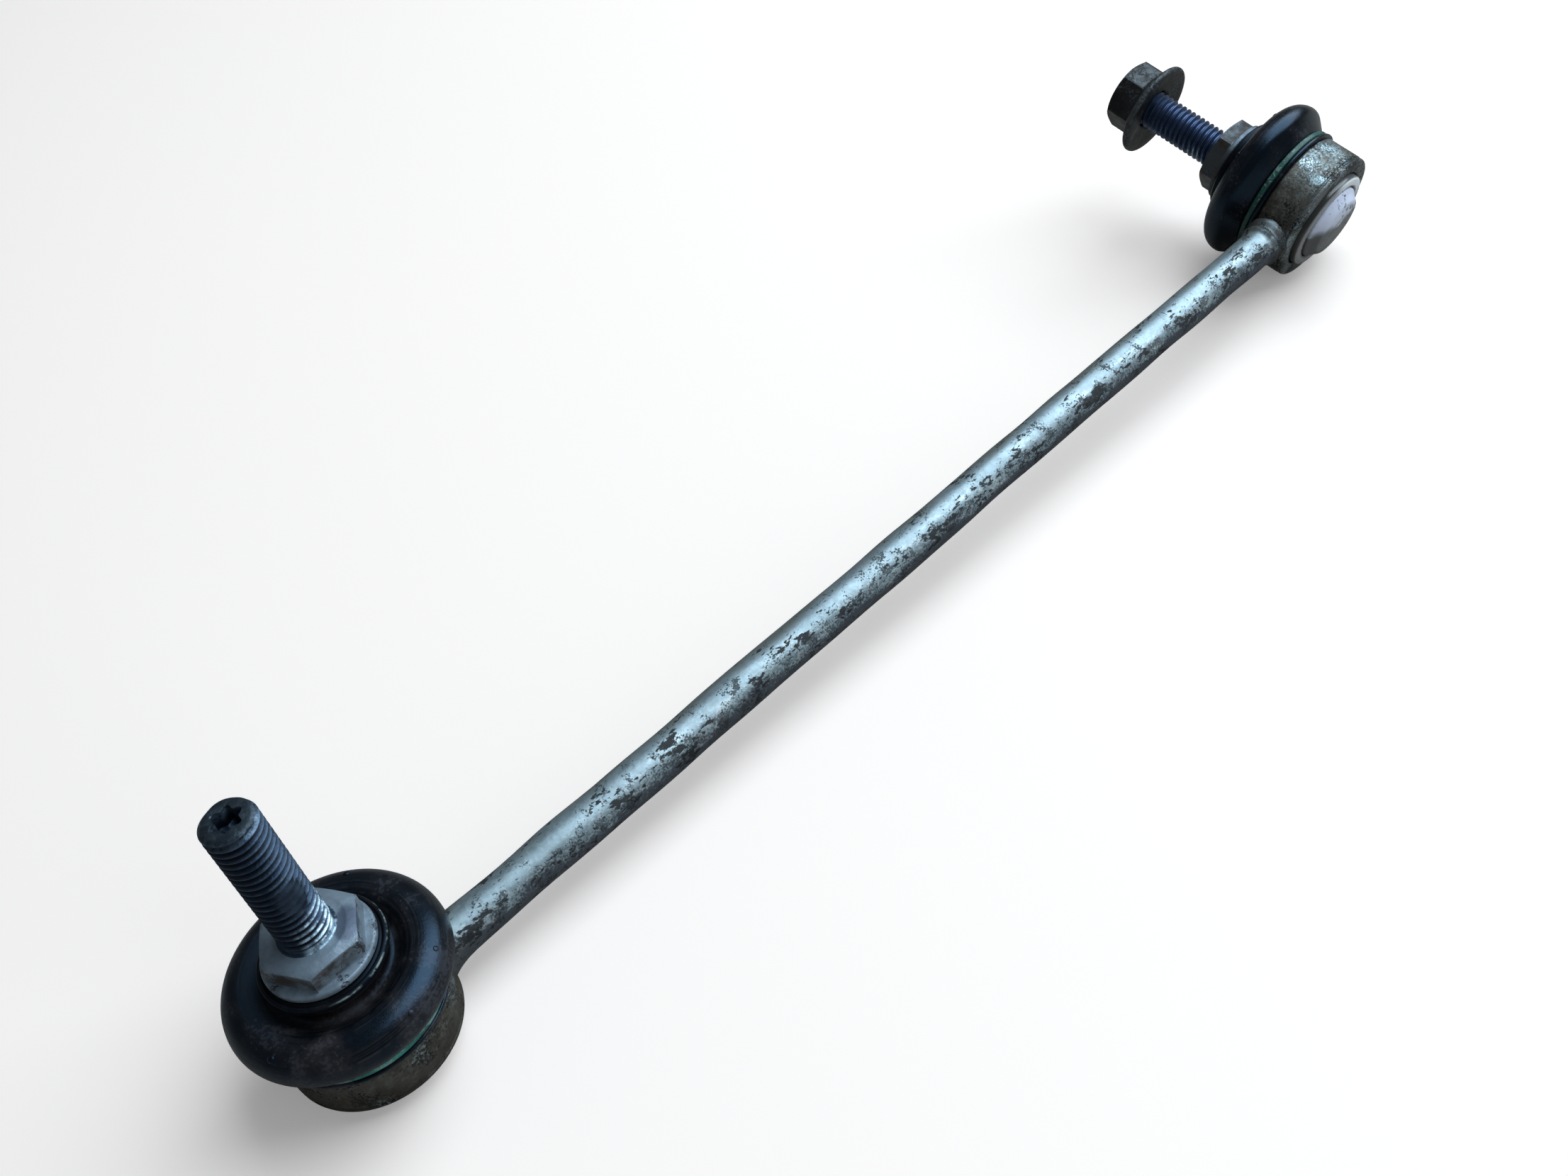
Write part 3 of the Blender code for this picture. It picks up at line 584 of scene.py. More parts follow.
def lumps(tree, place, scale, detail, roughness):
    """Noise with about so many lumps to a millimetre."""
    return add(tree, "TexNoise", {"Vector": place, "Scale": scale, "Detail": detail, "Roughness": roughness})


def cloudy_mask(tree, given):
    """Soft uneven patches, such as a worn or clouded film."""
    return lumps(tree, given["Place"], 1.0 / given["Size"], 6.0, 0.6).span(given["Low"], given["High"])


def pits_mask(tree, given):
    """Small dark pits that crowd together in clusters."""
    grain = lumps(tree, given["Place"], 1.0 / given["Size"], 4.0, 0.6)
    crowd = lumps(tree, given["Place"], 1.0 / given["Cluster"], 2.0, 0.5)
    return (grain + ((crowd - 0.5) * 1.1 + given["Amount"] * 0.2)).span(0.66, 0.73)


def band_mask(tree, given):
    """A soft band where a value passes a middle, broken up by noise."""
    rough = lumps(tree, given["Place"], 1.0 / given["Size"], 5.0, 0.65)
    away = abs(given["Value"] - given["Middle"]) / given["Width"]
    return away.span(0.0, 1.0, 1.0, 0.0) * rough.span(0.38, 0.62)


EFFECTS = {
    "cloudy": ("Cloudy patches", cloudy_mask, {"Size": 4.0, "Low": 0.4, "High": 0.6}),
    "pits": ("Clustered pits", pits_mask, {"Size": 0.4, "Cluster": 7.0, "Amount": 0.5}),
    "band": ("Broken band", band_mask, {"Value": 0.0, "Middle": 0.0, "Width": 1.0, "Size": 2.0}),
}


def shared_group(kind):
    """The shader node group of a shared effect, built when it is first asked for."""
    name, make_mask, inputs = EFFECTS[kind]
    if name in bpy.data.node_groups:
        return bpy.data.node_groups[name]
    tree = bpy.data.node_groups.new(name, "ShaderNodeTree")
    tree.interface.new_socket("Place", in_out="INPUT", socket_type="NodeSocketVector")
    for title, default in inputs.items():
        socket = tree.interface.new_socket(title, in_out="INPUT", socket_type="NodeSocketFloat")
        socket.default_value = default
    tree.interface.new_socket("Mask", in_out="OUTPUT", socket_type="NodeSocketFloat")
    entry = tree.nodes.new("NodeGroupInput")
    given = {socket.name: Value(tree, socket) for socket in entry.outputs}
    connect(tree, tree.nodes.new("NodeGroupOutput"), {"Mask": make_mask(tree, given)})
    return tree


class Finish:
    """A material that is built up in layers, with its places and sizes in millimetres."""

    def __init__(self, name, base, roughness, metallic, specular=0.5):
        self.surface = bpy.data.materials.new(name)
        self.surface.use_nodes = True
        self.tree = self.surface.node_tree
        self.shader = self.tree.nodes["Principled BSDF"]
        self.base = base
        connect(self.tree, self.shader, {
            "Roughness": roughness, "Metallic": metallic, "Specular IOR Level": specular})

    @cached_property
    def place(self):
        """A point's place in the frame."""
        return add(self.tree, "TexCoord", output="Object").vector("MULTIPLY", (MM, MM, MM))

    @cached_property
    def point(self):
        """A point's place in its joint's own axes."""
        return add(self.tree, "Attribute", (), "Vector", attribute_name=OWN_PLACE, attribute_type="GEOMETRY")

    @cached_property
    def radius(self):
        """A point's distance from its joint's axis."""
        return self.point.vector("MULTIPLY", (1.0, 1.0, 0.0)).length()

    @cached_property
    def height(self):
        """A point's height along its joint's axis."""
        return self.point.parts()[2]

    @cached_property
    def far(self):
        """White on the far joint and black on the near one."""
        return self.place.parts()[0].span(100.0, 200.0)

    def facing(self, degrees, low, high):
        """White on the side of a joint that lies in one direction round its axis."""
        angle = math.radians(degrees)
        direction = (math.cos(angle), math.sin(angle), 0.0)
        return self.point.toward((1.0, 1.0, 0.0), direction).span(low, high)

    def effect(self, kind, place=None, **inputs):
        """The mask of a shared effect, with this finish's own values."""
        node = self.tree.nodes.new("ShaderNodeGroup")
        node.node_tree = shared_group(kind)
        connect(self.tree, node, {"Place": place or self.place})
        connect(self.tree, node, {key.capitalize(): value for key, value in inputs.items()})
        return Value(self.tree, node.outputs["Mask"])

    cloudy = partialmethod(effect, "cloudy")
    pits = partialmethod(effect, "pits")
    band = partialmethod(effect, "band")

    def lay(self, mask, colour):
        """Lay a colour, or a tone that is given by its name, over the base where the mask is white."""
        above = TONES[colour] if isinstance(colour, str) else colour
        self.base = mix(self.tree, mask, self.base, above)

    def done(self, rough=None, metallic=None, bump=None, depth=0.0):
        """Lead the layers into the shader and give the material. The bump's depth is in millimetres."""
        inputs = {"Base Color": self.base, "Roughness": rough, "Metallic": metallic}
        if bump is not None:
            height = {"Height": bump, "Distance": depth / MM, "Strength": 1.0}
            inputs["Normal"] = add(self.tree, "Bump", height)
        connect(self.tree, self.shader, {key: value for key, value in inputs.items() if value is not None})
        return self.surface


# Colours of stains, films and worn places, and of painted shade and painted highlights
TONES = {
    "pale zinc": (0.50, 0.60, 0.63),
    "bright streaks": (0.80, 0.90, 0.92),
    "bright crackle": (0.80, 0.88, 0.88),
    "dull specks": (0.13, 0.17, 0.19),
    "grey zinc": (0.19, 0.25, 0.28),
    "rod dirt": (0.040, 0.041, 0.052),
    "burnt weld": (0.070, 0.066, 0.058),
    "housing shade": (0.055, 0.049, 0.038),
    "housing grain": (0.20, 0.20, 0.18),
    "housing mottle": (0.26, 0.26, 0.24),
    "housing dirt": (0.052, 0.044, 0.034),
    "housing foot": (0.018, 0.016, 0.013),
    "housing shine": (0.42, 0.56, 0.62),
    "rolled rim": (0.30, 0.32, 0.34),
    "housing pits": (0.014, 0.013, 0.012),
    "seat smear": (0.30, 0.31, 0.31),
    "seat dirt": (0.125, 0.120, 0.104),
    "seat crease": (0.020, 0.019, 0.017),
    "cap smear": (0.30, 0.29, 0.27),
    "cap dirt": (0.066, 0.062, 0.048),
    "cap specks": (0.03, 0.028, 0.03),
    "thread shade": (0.018, 0.026, 0.042),
    "far thread": (0.085, 0.135, 0.27),
    "thread shine": (0.66, 0.86, 1.0),
    "tip edge": (0.26, 0.36, 0.48),
    "tip face": (0.050, 0.072, 0.085),
    "thread grain": (0.05, 0.055, 0.06),
    "hexagon shade": (0.13, 0.17, 0.22),
    "hexagon grain": (0.20, 0.26, 0.31),
    "hexagon patch": (0.060, 0.078, 0.125),
    "hexagon pits": (0.02, 0.02, 0.022),
    "grease": (0.30, 0.28, 0.22),
    "rubbed edge": (0.30, 0.36, 0.34),
    "rubber film": (0.030, 0.023, 0.021),
    "rubber spots": (0.06, 0.06, 0.07),
    "ring dirt": (0.012, 0.030, 0.028),
    "ring grain": (0.06, 0.17, 0.14),
    "far ring": (0.010, 0.050, 0.040),
    "ring specks": (0.30, 0.42, 0.40),
    "wire grain": (0.20, 0.19, 0.18),
    "nut shade": (0.028, 0.026, 0.026),
    "nut stain": (0.026, 0.017, 0.010),
    "nut pits": (0.012, 0.011, 0.011),
    "nylon grain": (0.42, 0.41, 0.38),
    "black": (0.0, 0.0, 0.0),
}


def plated_rod_finish(colours):
    """Worn pale zinc with clusters of pits, painted highlights in the lit band, and painted shade: a dull olive
    film along the upper side and dark, partly dirt, along the lower side.
    """
    finish = Finish("plated_rod", colours.rod_zinc, 0.4, 0.6)
    along = finish.place.parts()[0]
    side = finish.place.toward((0.0, 1.0, 1.0), (0.0, -0.765, -0.644))
    stretched = finish.place.mapped(Scale=(0.35, 1.0, 1.0))
    lengthwise = finish.place.mapped(Scale=(0.50, 1.0, 1.0))
    cloud = finish.cloudy(stretched, size=5.0, low=0.35, high=0.65)
    fine_cloud = finish.cloudy(size=1.3, low=0.35, high=0.68)
    blots = finish.cloudy(stretched, size=2.6, low=0.30, high=0.72)
    speckle = finish.cloudy(size=0.55, low=0.30, high=0.70)
    # Painted highlights: bright streaks and flecks laid only on the side that faces the light.
    streaks = finish.cloudy(stretched, size=3.2, low=0.50, high=0.64) * side.span(-0.55, -0.10)
    lit_flecks = finish.cloudy(size=0.8, low=0.50, high=0.60) * side.span(-0.30, 0.10)
    uneven_side = side + cloud * 0.25
    ragged = (speckle - 0.5) * 0.32 + (blots - 0.5) * 0.30
    # Painted shade: a dull olive film along the upper edge, and dark, partly dirt, along the lower side.
    film = uneven_side.span(-0.45, -0.92)
    dirt = (uneven_side + ragged).span(0.38, 0.84)
    shade_and_dirt = film.most(dirt)
    amount = abs(side - 0.32).span(0.75, 0.0) * 0.62
    pits = finish.pits(lengthwise, size=0.75, cluster=4.5, amount=amount)
    pits = pits.most(finish.pits(size=0.42, cluster=3.2, amount=amount) * 0.8)
    welds = (along.span(22.5, 18.5) * 0.6).most(along.span(276.0, 278.0))
    finish.lay(fine_cloud * 0.45, "pale zinc")
    finish.lay(streaks * 0.60, "bright streaks")
    finish.lay(lit_flecks * 0.60, "bright crackle")
    finish.lay(speckle * 0.22, "dull specks")
    finish.lay(cloud * 0.40, "grey zinc")
    finish.lay(film * 0.85, colours.rod_film)
    finish.lay(dirt * 0.90, "rod dirt")
    finish.lay(welds * (0.30 + blots * 0.6), "burnt weld")
    finish.lay(pits * 0.95, colours.pit_brown)
    rough = 0.43 + fine_cloud * 0.14 + pits * 0.25 + shade_and_dirt * 0.25
    metallic = 0.80 - pits * 0.7 - shade_and_dirt * 0.4
    return finish.done(rough, metallic, bump=fine_cloud * 0.25 - pits, depth=0.07)


def housing_finish(colours):
    """Dull dirty steel with bright patches, rust spots and fine turning lines, painted shade on the near housing's
    lower side and painted highlights on the far housing's upper side and rim.
    """
    finish = Finish("worn_housing", colours.housing_steel, 0.5, 0.7)
    cloud = finish.cloudy(size=6.0, low=0.38, high=0.62)
    patches = finish.cloudy(size=9.0, low=0.53, high=0.66)
    rust = finish.cloudy(size=4.5, low=0.60, high=0.72)
    grain = finish.cloudy(size=0.7, low=0.3, high=0.7)
    mottle = finish.cloudy(size=2.4, low=0.48, high=0.62) * grain
    pits = finish.pits(size=0.5, cluster=8.0, amount=0.55)
    flecks = finish.pits(size=0.45, cluster=5.0, amount=0.35)
    # Painted highlight: a lighter, glinting rim at the far housing's foot.
    far_rim_highlight = finish.far * finish.height.span(HOUSING_FOOT + 1.9, HOUSING_FOOT + 0.6)
    # Painted shade: the near housing darker towards its lower side and darkest at its foot.
    near_low_shade = (1.0 - finish.far) * finish.height.span(3.0, -4.0)
    near_foot_shade = near_low_shade * finish.height.span(-3.5, -8.0)
    # Painted highlights: pale glints on the far housing's upper side.
    far_lit_side = finish.far * finish.facing(90.0, 0.72, 0.98)
    highlight = (far_lit_side * flecks.most(cloud * grain * 0.55)).most(far_rim_highlight * (flecks * 0.7))
    finish.lay(cloud, "housing shade")
    finish.lay(grain * 0.28, "housing grain")
    finish.lay(mottle * 0.60, "housing mottle")
    finish.lay(near_low_shade * 0.55, "housing dirt")
    finish.lay(near_foot_shade * 0.65, "housing foot")
    finish.lay(patches * grain, colours.housing_bright)
    finish.lay(highlight, "housing shine")
    finish.lay(far_rim_highlight * 0.35, "rolled rim")
    finish.lay(rust * 0.7, colours.rust)
    finish.lay(pits * 0.85, "housing pits")
    lines = lumps(finish.tree, finish.point.vector("MULTIPLY", (0.0, 0.0, 1.0)), 5.0, 2.0, 0.5)
    rough = 0.58 - patches.most(highlight) * 0.26
    return finish.done(rough, bump=lines * 0.5 + grain * 0.6 - pits, depth=0.06)


def seat_finish(colours):
    """Bright smooth plastic of the bearing seats, with painted shade in an olive tone on the far seat's side away
    from the light, and painted shade in the creases at its edges.
    """
    finish = Finish("seat_plastic", colours.seat_white, 0.25, 0.0, 0.8)
    smear = finish.cloudy(size=4.0, low=0.52, high=0.72)
    # Painted shade: the far seat darker on all but the side that faces the light.
    dirt = (1.0 - finish.facing(125.0, 0.60, 0.92)) * finish.far
    # Painted shade: dark lines in the creases where the seat meets the housing and the cap.
    creases = finish.radius.span(12.50, 12.85).most(finish.radius.span(10.9, 10.45))
    finish.lay(smear * 0.25, "seat smear")
    finish.lay(dirt * 0.85, "seat dirt")
    finish.lay(creases * 0.90, "seat crease")
    return finish.done(0.22 + smear * 0.25)


def cap_finish(colours):
    """Bluish white plastic with dark specks, and painted shade in olive brown on the far cap's lower side."""
    finish = Finish("cap_plastic", colours.plastic_white, 0.35, 0.0)
    smear = finish.cloudy(size=5.0, low=0.45, high=0.75)
    specks = finish.pits(size=1.0, cluster=7.0, amount=0.10)
    ripple = finish.cloudy(size=3.5, low=0.2, high=0.8)
    # Painted shade: the far cap darker towards its lower side.
    low_shade = (finish.place.parts()[2] + (smear - 0.5) * 3.0).span(0.0, -3.0) * finish.far
    finish.lay(smear * 0.35, "cap smear")
    finish.lay(low_shade * 0.92, "cap dirt")
    finish.lay(specks * 0.85, "cap specks")
    return finish.done(0.30 + smear * 0.3, bump=ripple, depth=0.03)


def stud_thread_finish(colours):
    """Dark blue-grey phosphate that is worn bright on the crests of the thread, with a painted highlight on one
    side of the thread's foot and the far stud's thread painted lighter and bluer as if lit.
    """
    finish = Finish("phosphated_thread", colours.stud_blue, 0.4, 0.80)
    cloud = finish.cloudy(size=3.5, low=0.38, high=0.62)
    grain = finish.cloudy(size=0.6, low=0.3, high=0.7)
    crest = finish.radius.span(4.45, 4.92) * (0.35 + cloud)
    # Painted highlight: bright blue-white on one side of the last crests above the hexagon.
    foot = finish.band(value=finish.height, middle=HEXAGON_TOP + 2.2, width=8.0, size=3.0)
    highlight = foot * finish.facing(-52.0, 0.20, 0.80) * (crest * 2.2)
    tip = finish.height.span(STUD_TIP - 0.9, STUD_TIP - 0.1)
    tip_edge = finish.band(value=finish.height, middle=STUD_TIP - 0.9, width=1.6, size=1.5)
    finish.lay(cloud, "thread shade")
    finish.lay(crest * 0.8, colours.stud_worn)
    # Painted highlight: the far stud's whole thread lighter and bluer.
    finish.lay(finish.far * 0.6, "far thread")
    finish.lay(highlight, "thread shine")
    finish.lay(tip_edge * 0.7, "tip edge")
    finish.lay(tip * 0.6, "tip face")
    finish.lay(grain * 0.25, "thread grain")
    return finish.done(0.30 + cloud * 0.18, bump=grain, depth=0.03)


def hexagon_finish(colours):
    """Pale zinc on the hexagon and flange, with brown dirt and rust on the hexagon's sides; the dirt thins out on
    the side that faces the light as painted light, and painted shade darkens the far hexagon's lower side.
    """
    finish = Finish("zinc_hexagon", colours.hexagon_zinc, 0.4, 0.40)
    cloud = finish.cloudy(size=4.5, low=0.38, high=0.66)
    grain = finish.cloudy(size=0.9, low=0.3, high=0.75)
    rust = finish.cloudy(size=2.6, low=0.57, high=0.66)
    sides = finish.height.span(HEXAGON_TOP - 0.4, HEXAGON_TOP - 1.1)
    sides = sides * finish.height.span(FLANGE_TOP, FLANGE_TOP + 0.7)
    flange = finish.height.span(FLANGE_TOP + 0.2, FLANGE_TOP)
    # Painted light: the dirt thins out on the side that faces the light.
    lit_side = finish.facing(-12.0, 0.35, 0.80)
    # Painted shade: the far hexagon darker on all but its upper side.
    far_low_shade = finish.far * (1.0 - finish.facing(85.0, 0.80, 0.90) * 0.8)
    dirt = sides * (0.45 + cloud * 0.55) * (1.0 - lit_side * 0.75)
    dirt = dirt.most(flange * (cloud * 0.30)).most(far_low_shade * 0.85)
    pits = finish.pits(size=0.6, cluster=5.0, amount=0.16) * sides.most(flange)
    away = finish.point.mapped(
        Location=(5.6, -4.3, HEXAGON_TOP), Rotation=(0.0, 0.0, math.radians(-38.0)), Scale=(2.9, 4.3, 3.0),
        vector_type="TEXTURE").length()
    patch = (away + grain * 0.15).span(1.08, 0.70)
    finish.lay(cloud * 0.6, "hexagon shade")
    finish.lay(grain * 0.25, "hexagon grain")
    finish.lay(patch * 0.8, "hexagon patch")
    finish.lay(dirt, colours.hexagon_dirt_and_shade)
    finish.lay(rust * sides * 0.8, colours.rust)
    finish.lay(pits * 0.8, "hexagon pits")
    return finish.done(0.40 + cloud * 0.15, 0.42 - dirt * 0.35, bump=grain * 0.5 - pits, depth=0.05)


def ball_finish(colours):
    """Polished steel of the ball, neck and hub, with traces of grease."""
    finish = Finish("polished_ball", colours.ball_steel, 0.2, 0.95)
    smear = finish.cloudy(size=3.0, low=0.45, high=0.7)
    finish.lay(smear * 0.5, "grease")
    return finish.done(0.18 + smear * 0.2)


def collar_finish(colours):
    """Dark satin plastic with dust, and a painted highlight along its outer edge on the side that faces the light.
    """
    finish = Finish("dark_collar", colours.collar_black, 0.36, 0.0, 0.16)
    dusty = finish.cloudy(size=4.0, low=0.45, high=0.75)
    # Painted highlight: a pale broken line along the outer edge on the side that faces the light.
    broken = finish.cloudy(size=3.5, low=0.42, high=0.55) * finish.facing(-50.0, 0.35, 0.75)
    edge = finish.radius.span(11.45, 11.62) * finish.height.span(20.45, 20.75)
    finish.lay(dusty * 0.25, colours.dust)
    finish.lay(edge * broken * 0.8, "rubbed edge")
    connect(finish.tree, finish.shader, {"Specular Tint": SHEEN_TINT})
    return finish.done(0.34 + dusty * 0.2, bump=dusty, depth=0.03)


def rubber_finish(colours):
    """Black satin rubber with rings of dust, smears and moulded grain."""
    finish = Finish("boot_rubber", colours.rubber_black, 0.32, 0.0, 0.50)
    section = add(finish.tree, "CombineXYZ", {0: finish.radius, 1: finish.height})
    streaks = lumps(finish.tree, section, 1.3, 5.0, 0.6)
    cloud = finish.cloudy(size=8.0, low=0.40, high=0.68)
    grain = finish.cloudy(size=0.35, low=0.25, high=0.75)
    spots = finish.pits(size=0.7, cluster=8.0, amount=0.22)
    ring = finish.band(value=finish.radius, middle=15.2, width=2.4, size=3.2)
    outer = finish.band(value=finish.height, middle=15.0, width=2.6, size=4.5)
    dusty = ring.most(outer) * streaks.span(0.40, 0.62)
    film = cloud * (0.30 + finish.facing(-105.0, 0.55, 1.0) * 0.60)
    dull = finish.facing(140.0, 0.25, 0.75) * finish.radius.span(17.5, 15.5)
    smooth = (finish.facing(-55.0, 0.20, 0.90) * finish.radius.span(15.5, 18.0)).most(finish.far)
    finish.lay(film, "rubber film")
    finish.lay(dusty * 0.6, colours.dust)
    finish.lay(spots * 0.35, "rubber spots")
    connect(finish.tree, finish.shader, {"Specular Tint": SHEEN_TINT})
    rough = 0.28 + cloud * 0.10 + dusty * 0.25 + dull * 0.40 - smooth * 0.09
    return finish.done(rough, bump=grain * 0.35 + streaks * 0.6, depth=0.04)


def green_ring_finish(colours):
    """Teal green plastic, dulled by dirt, with painted shade darkening the whole far ring."""
    finish = Finish("green_base_ring", colours.ring_green, 0.4, 0.0)
    dusty = finish.cloudy(size=6.0, low=0.42, high=0.64)
    grain = finish.cloudy(size=0.8, low=0.3, high=0.7)
    specks = finish.pits(size=0.5, cluster=4.0, amount=0.55)
    finish.lay(dusty * 0.75, "ring dirt")
    finish.lay(grain * 0.25, "ring grain")
    # Painted shade: the whole far ring darker.
    finish.lay(finish.far * 0.85, "far ring")
    finish.lay(specks * 0.5, "ring specks")
    return finish.done(0.35 + dusty * 0.25, bump=grain, depth=0.02)


def wire_finish(colours):
    """Drawn steel wire with fine lines along it."""
    finish = Finish("wire_steel", colours.wire_steel, 0.3, 0.9)
    grain = finish.cloudy(size=0.25, low=0.3, high=0.7)
    finish.lay(grain * 0.4, "wire grain")
    return finish.done(0.26 + grain * 0.15)


def nut_finish(colours):
    """Weathered dark plating with pale worn places, brown stains and pits, a painted highlight on the hexagon's
    upper facet, and a pale rim on the flange that is painted highlight with some wear.
    """
    finish = Finish("weathered_nut", colours.nut_steel, 0.45, 0.45)
    cloud = finish.cloudy(size=4.0, low=0.36, high=0.64)
    worn = finish.cloudy(size=5.0, low=0.52, high=0.62)
    stain = finish.cloudy(size=3.2, low=0.52, high=0.68)
    grain = finish.cloudy(size=0.7, low=0.3, high=0.7)
    pits = finish.pits(size=0.6, cluster=5.0, amount=0.4)
    # Painted highlight with some wear: a pale band along the flange's rim.
    rim = finish.band(value=finish.radius, middle=12.1, width=0.7, size=2.5)
    # Painted highlight: the hexagon's upper facet paler.
    top_facet_highlight = finish.facing(90.0, 0.87, 0.91) * finish.height.span(NUT_FACE + 3.2, NUT_FACE + 4.2)
    finish.lay(cloud, "nut shade")
    finish.lay(top_facet_highlight * (0.08 + cloud * 0.40), colours.nut_bright)
    finish.lay(stain * 0.75, "nut stain")
    finish.lay(worn * (grain * 0.45), colours.nut_bright)
    finish.lay(rim * 0.35, colours.nut_bright)
    finish.lay(pits * 0.8, "nut pits")
    return finish.done(0.40 + cloud * 0.15, bump=grain * 0.6 - pits, depth=0.06)


def nylon_finish(colours):
    """Off-white nylon with faint turning marks."""
    finish = Finish("nylon_ring", colours.nylon, 0.45, 0.0)
    grain = finish.cloudy(size=0.6, low=0.3, high=0.7)
    finish.lay(grain * 0.3, "nylon grain")
    return finish.done(bump=grain, depth=0.02)


def floor_finish(studio):
    """Plain pale floor that sends little light back to the link, so that its shaded sides stay dark."""
    finish = Finish("pale_floor", studio.floor, 0.9, 0.0, 0.0)
    tree = finish.tree
    seen = add(tree, "LightPath", output="Is Camera Ray")
    distant = finish.place.length().span(*FLOOR_FADE)
    finish.lay(distant, "black")
    finish.base = mix(tree, seen, studio.floor_bounce, finish.base)
    glow = mix(tree, distant, studio.floor_glow, BACKDROP)
    glow = mix(tree, seen, TONES["black"], glow)
    connect(tree, finish.shader, {"Emission Color": glow, "Emission Strength": 1.0})
    below = add(tree, "NewGeometry", output="Backfacing")
    clear = add(tree, "BsdfTransparent")
    both = add(tree, "MixShader", {0: below, 1: Value(tree, finish.shader.outputs[0]), 2: clear})
    connect(tree, tree.nodes["Material Output"], {"Surface": both})
    return finish.done()


# Pieces


def model_rod(context):
    """The plated rod, swollen by its welds and a little uneven along its length."""
    sizes = millimetres(context)
    radius = sizes["rod_radius"]
    wall = sizes["housing_radius"]
    weld_rows = [-0.5, 0.0, 0.3, 0.7, 1.1, 1.5, 1.9, 2.3, 2.7, 3.1, 3.5, 3.9, 4.4, 5.0, 5.7, 6.5, 7.5, 9.0, 11.0]
    middle = SPACING - 2.0 * wall
    count = 72
    last = weld_rows[-1]
    inner_rows = [last + (middle - 2.0 * last) * (index + 1) / count for index in range(count - 1)]
    rows = weld_rows + inner_rows + [middle - row for row in reversed(weld_rows)]
    shape = bmesh.new()
    bmesh.ops.create_circle(shape, cap_ends=False, radius=radius, segments=ROD_STEPS)
    rotate(shape, shape.verts, math.pi / 2.0, "Y")
    bmesh.ops.translate(shape, verts=shape.verts, vec=(rows[0], 0.0, 0.0))
    ring = shape.edges[:]
    first = ring
    for before, after in zip(rows, rows[1:]):
        verts, ring = extend(shape, ring)
        bmesh.ops.translate(shape, verts=verts, vec=(after - before, 0.0, 0.0))
    bmesh.ops.holes_fill(shape, edges=first + ring, sides=ROD_STEPS)
    bmesh.ops.recalc_face_normals(shape, faces=shape.faces)
    far_turn = joint_matrix("far").to_3x3().normalized().inverted()
    for vert in shape.verts:
        vert.co = rod_point(vert.co.copy(), sizes, middle, far_turn)
    surface = plated_rod_finish(context.scene.link_colours)
    rod = add_piece("plated_rod", shape, Matrix.Scale(1.0 / MM, 4), [surface], ["link_rod"])
    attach(rod, "link_body")


def rod_point(point, sizes, middle, far_turn):
    """Where a point of the plain rod goes, with the welds' swell and the housings' round walls."""
    wall = sizes["housing_radius"]
    along = point.x
    out = Vector((0.0, point.y, point.z)).normalized()
    uneven = noise.noise(Vector((along * 0.07, out.y * 0.6, out.z * 0.6))) * 0.30
    radius = sizes["rod_radius"] + uneven - 0.04
    near_away = max(along, 0.0)
    far_away = max(middle - along, 0.0)
    lumps = noise.noise(Vector((along * 0.9, point.y * 0.5, point.z * 0.5)))
    near_swell = math.exp(-near_away / 2.2)
    radius += sizes["weld_swell"] * near_swell * abs(out.y) ** 1.5 + 0.25 * near_swell * (1.0 + lumps)
    seam = 0.75 * math.exp(-((far_away - 3.3) / 0.75) ** 2) + 0.95 * math.exp(-((far_away - 0.4) / 1.2) ** 2)
    radius += seam * (1.0 + 0.35 * lumps) + 0.30 * math.exp(-far_away / 3.5)
    across = out * radius
    near_bend = wall - math.sqrt(wall ** 2 - across.y ** 2)
    far_across = far_turn @ across
    far_bend = wall - math.sqrt(wall ** 2 - far_across.y ** 2)
    along -= near_bend * max(1.0 - near_away / 9.0, 0.0) ** 2
    along += far_bend * max(1.0 - far_away / 9.0, 0.0) ** 2
    return Vector((wall + along, across.y, across.z))


def model_housing(context, end, surface):
    """A turned steel housing with its rolled rim."""
    wide = millimetres(context)["housing_radius"]
    foot = HOUSING_FOOT
    corners = [
        (15.2, HOUSING_TOP, 0.25), (15.2, GROOVE_TOP, 0.25), (14.0, GROOVE_TOP, 0.0),
        (14.0, HOUSING_SHOULDER, 0.0), (wide - 0.5, HOUSING_SHOULDER, 0.0),
        (wide, HOUSING_SHOULDER - 0.5, 0.2), (wide, foot + 1.75, 0.15), (wide - 0.28, foot + 1.55, 0.1),
        (wide - 0.28, foot + 1.25, 0.1), (wide - 0.05, foot + 1.05, 0.15), (wide - 0.12, foot, 0.75),
        (13.2, foot, 0.5), (13.2, foot + 1.2, 0.0), (14.3, foot + 1.2, 0.0), (14.3, -2.8, 0.0),
        (12.4, -2.8, 0.0), (12.4, 4.4, 0.0), (8.45, 4.4, 0.0), (10.45, HOUSING_TOP, 0.0),
    ]
    shape = turned(corners)
    housing = add_piece(
        end + "_turned_housing", shape, joint_matrix(end), [surface], [end + "_housing"])
    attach(housing, "link_body")


def seat_slots(end):
    """The cutter for the slots that let a bearing seat spring open."""
    shape = bmesh.new()
    for index in range(6):
        turn = Matrix.Rotation(math.tau * (index + 0.5) / 6.0, 4, "Z")
        block = Matrix.Translation((10.5, 0.0, 1.5)) @ Matrix.Diagonal((12.0, 1.2, 6.0, 1.0))
        bmesh.ops.create_cube(shape, size=1.0, matrix=turn @ block)
    name = end + "_slot_cutter"
    return new_object(name, mesh_of(name, shape))


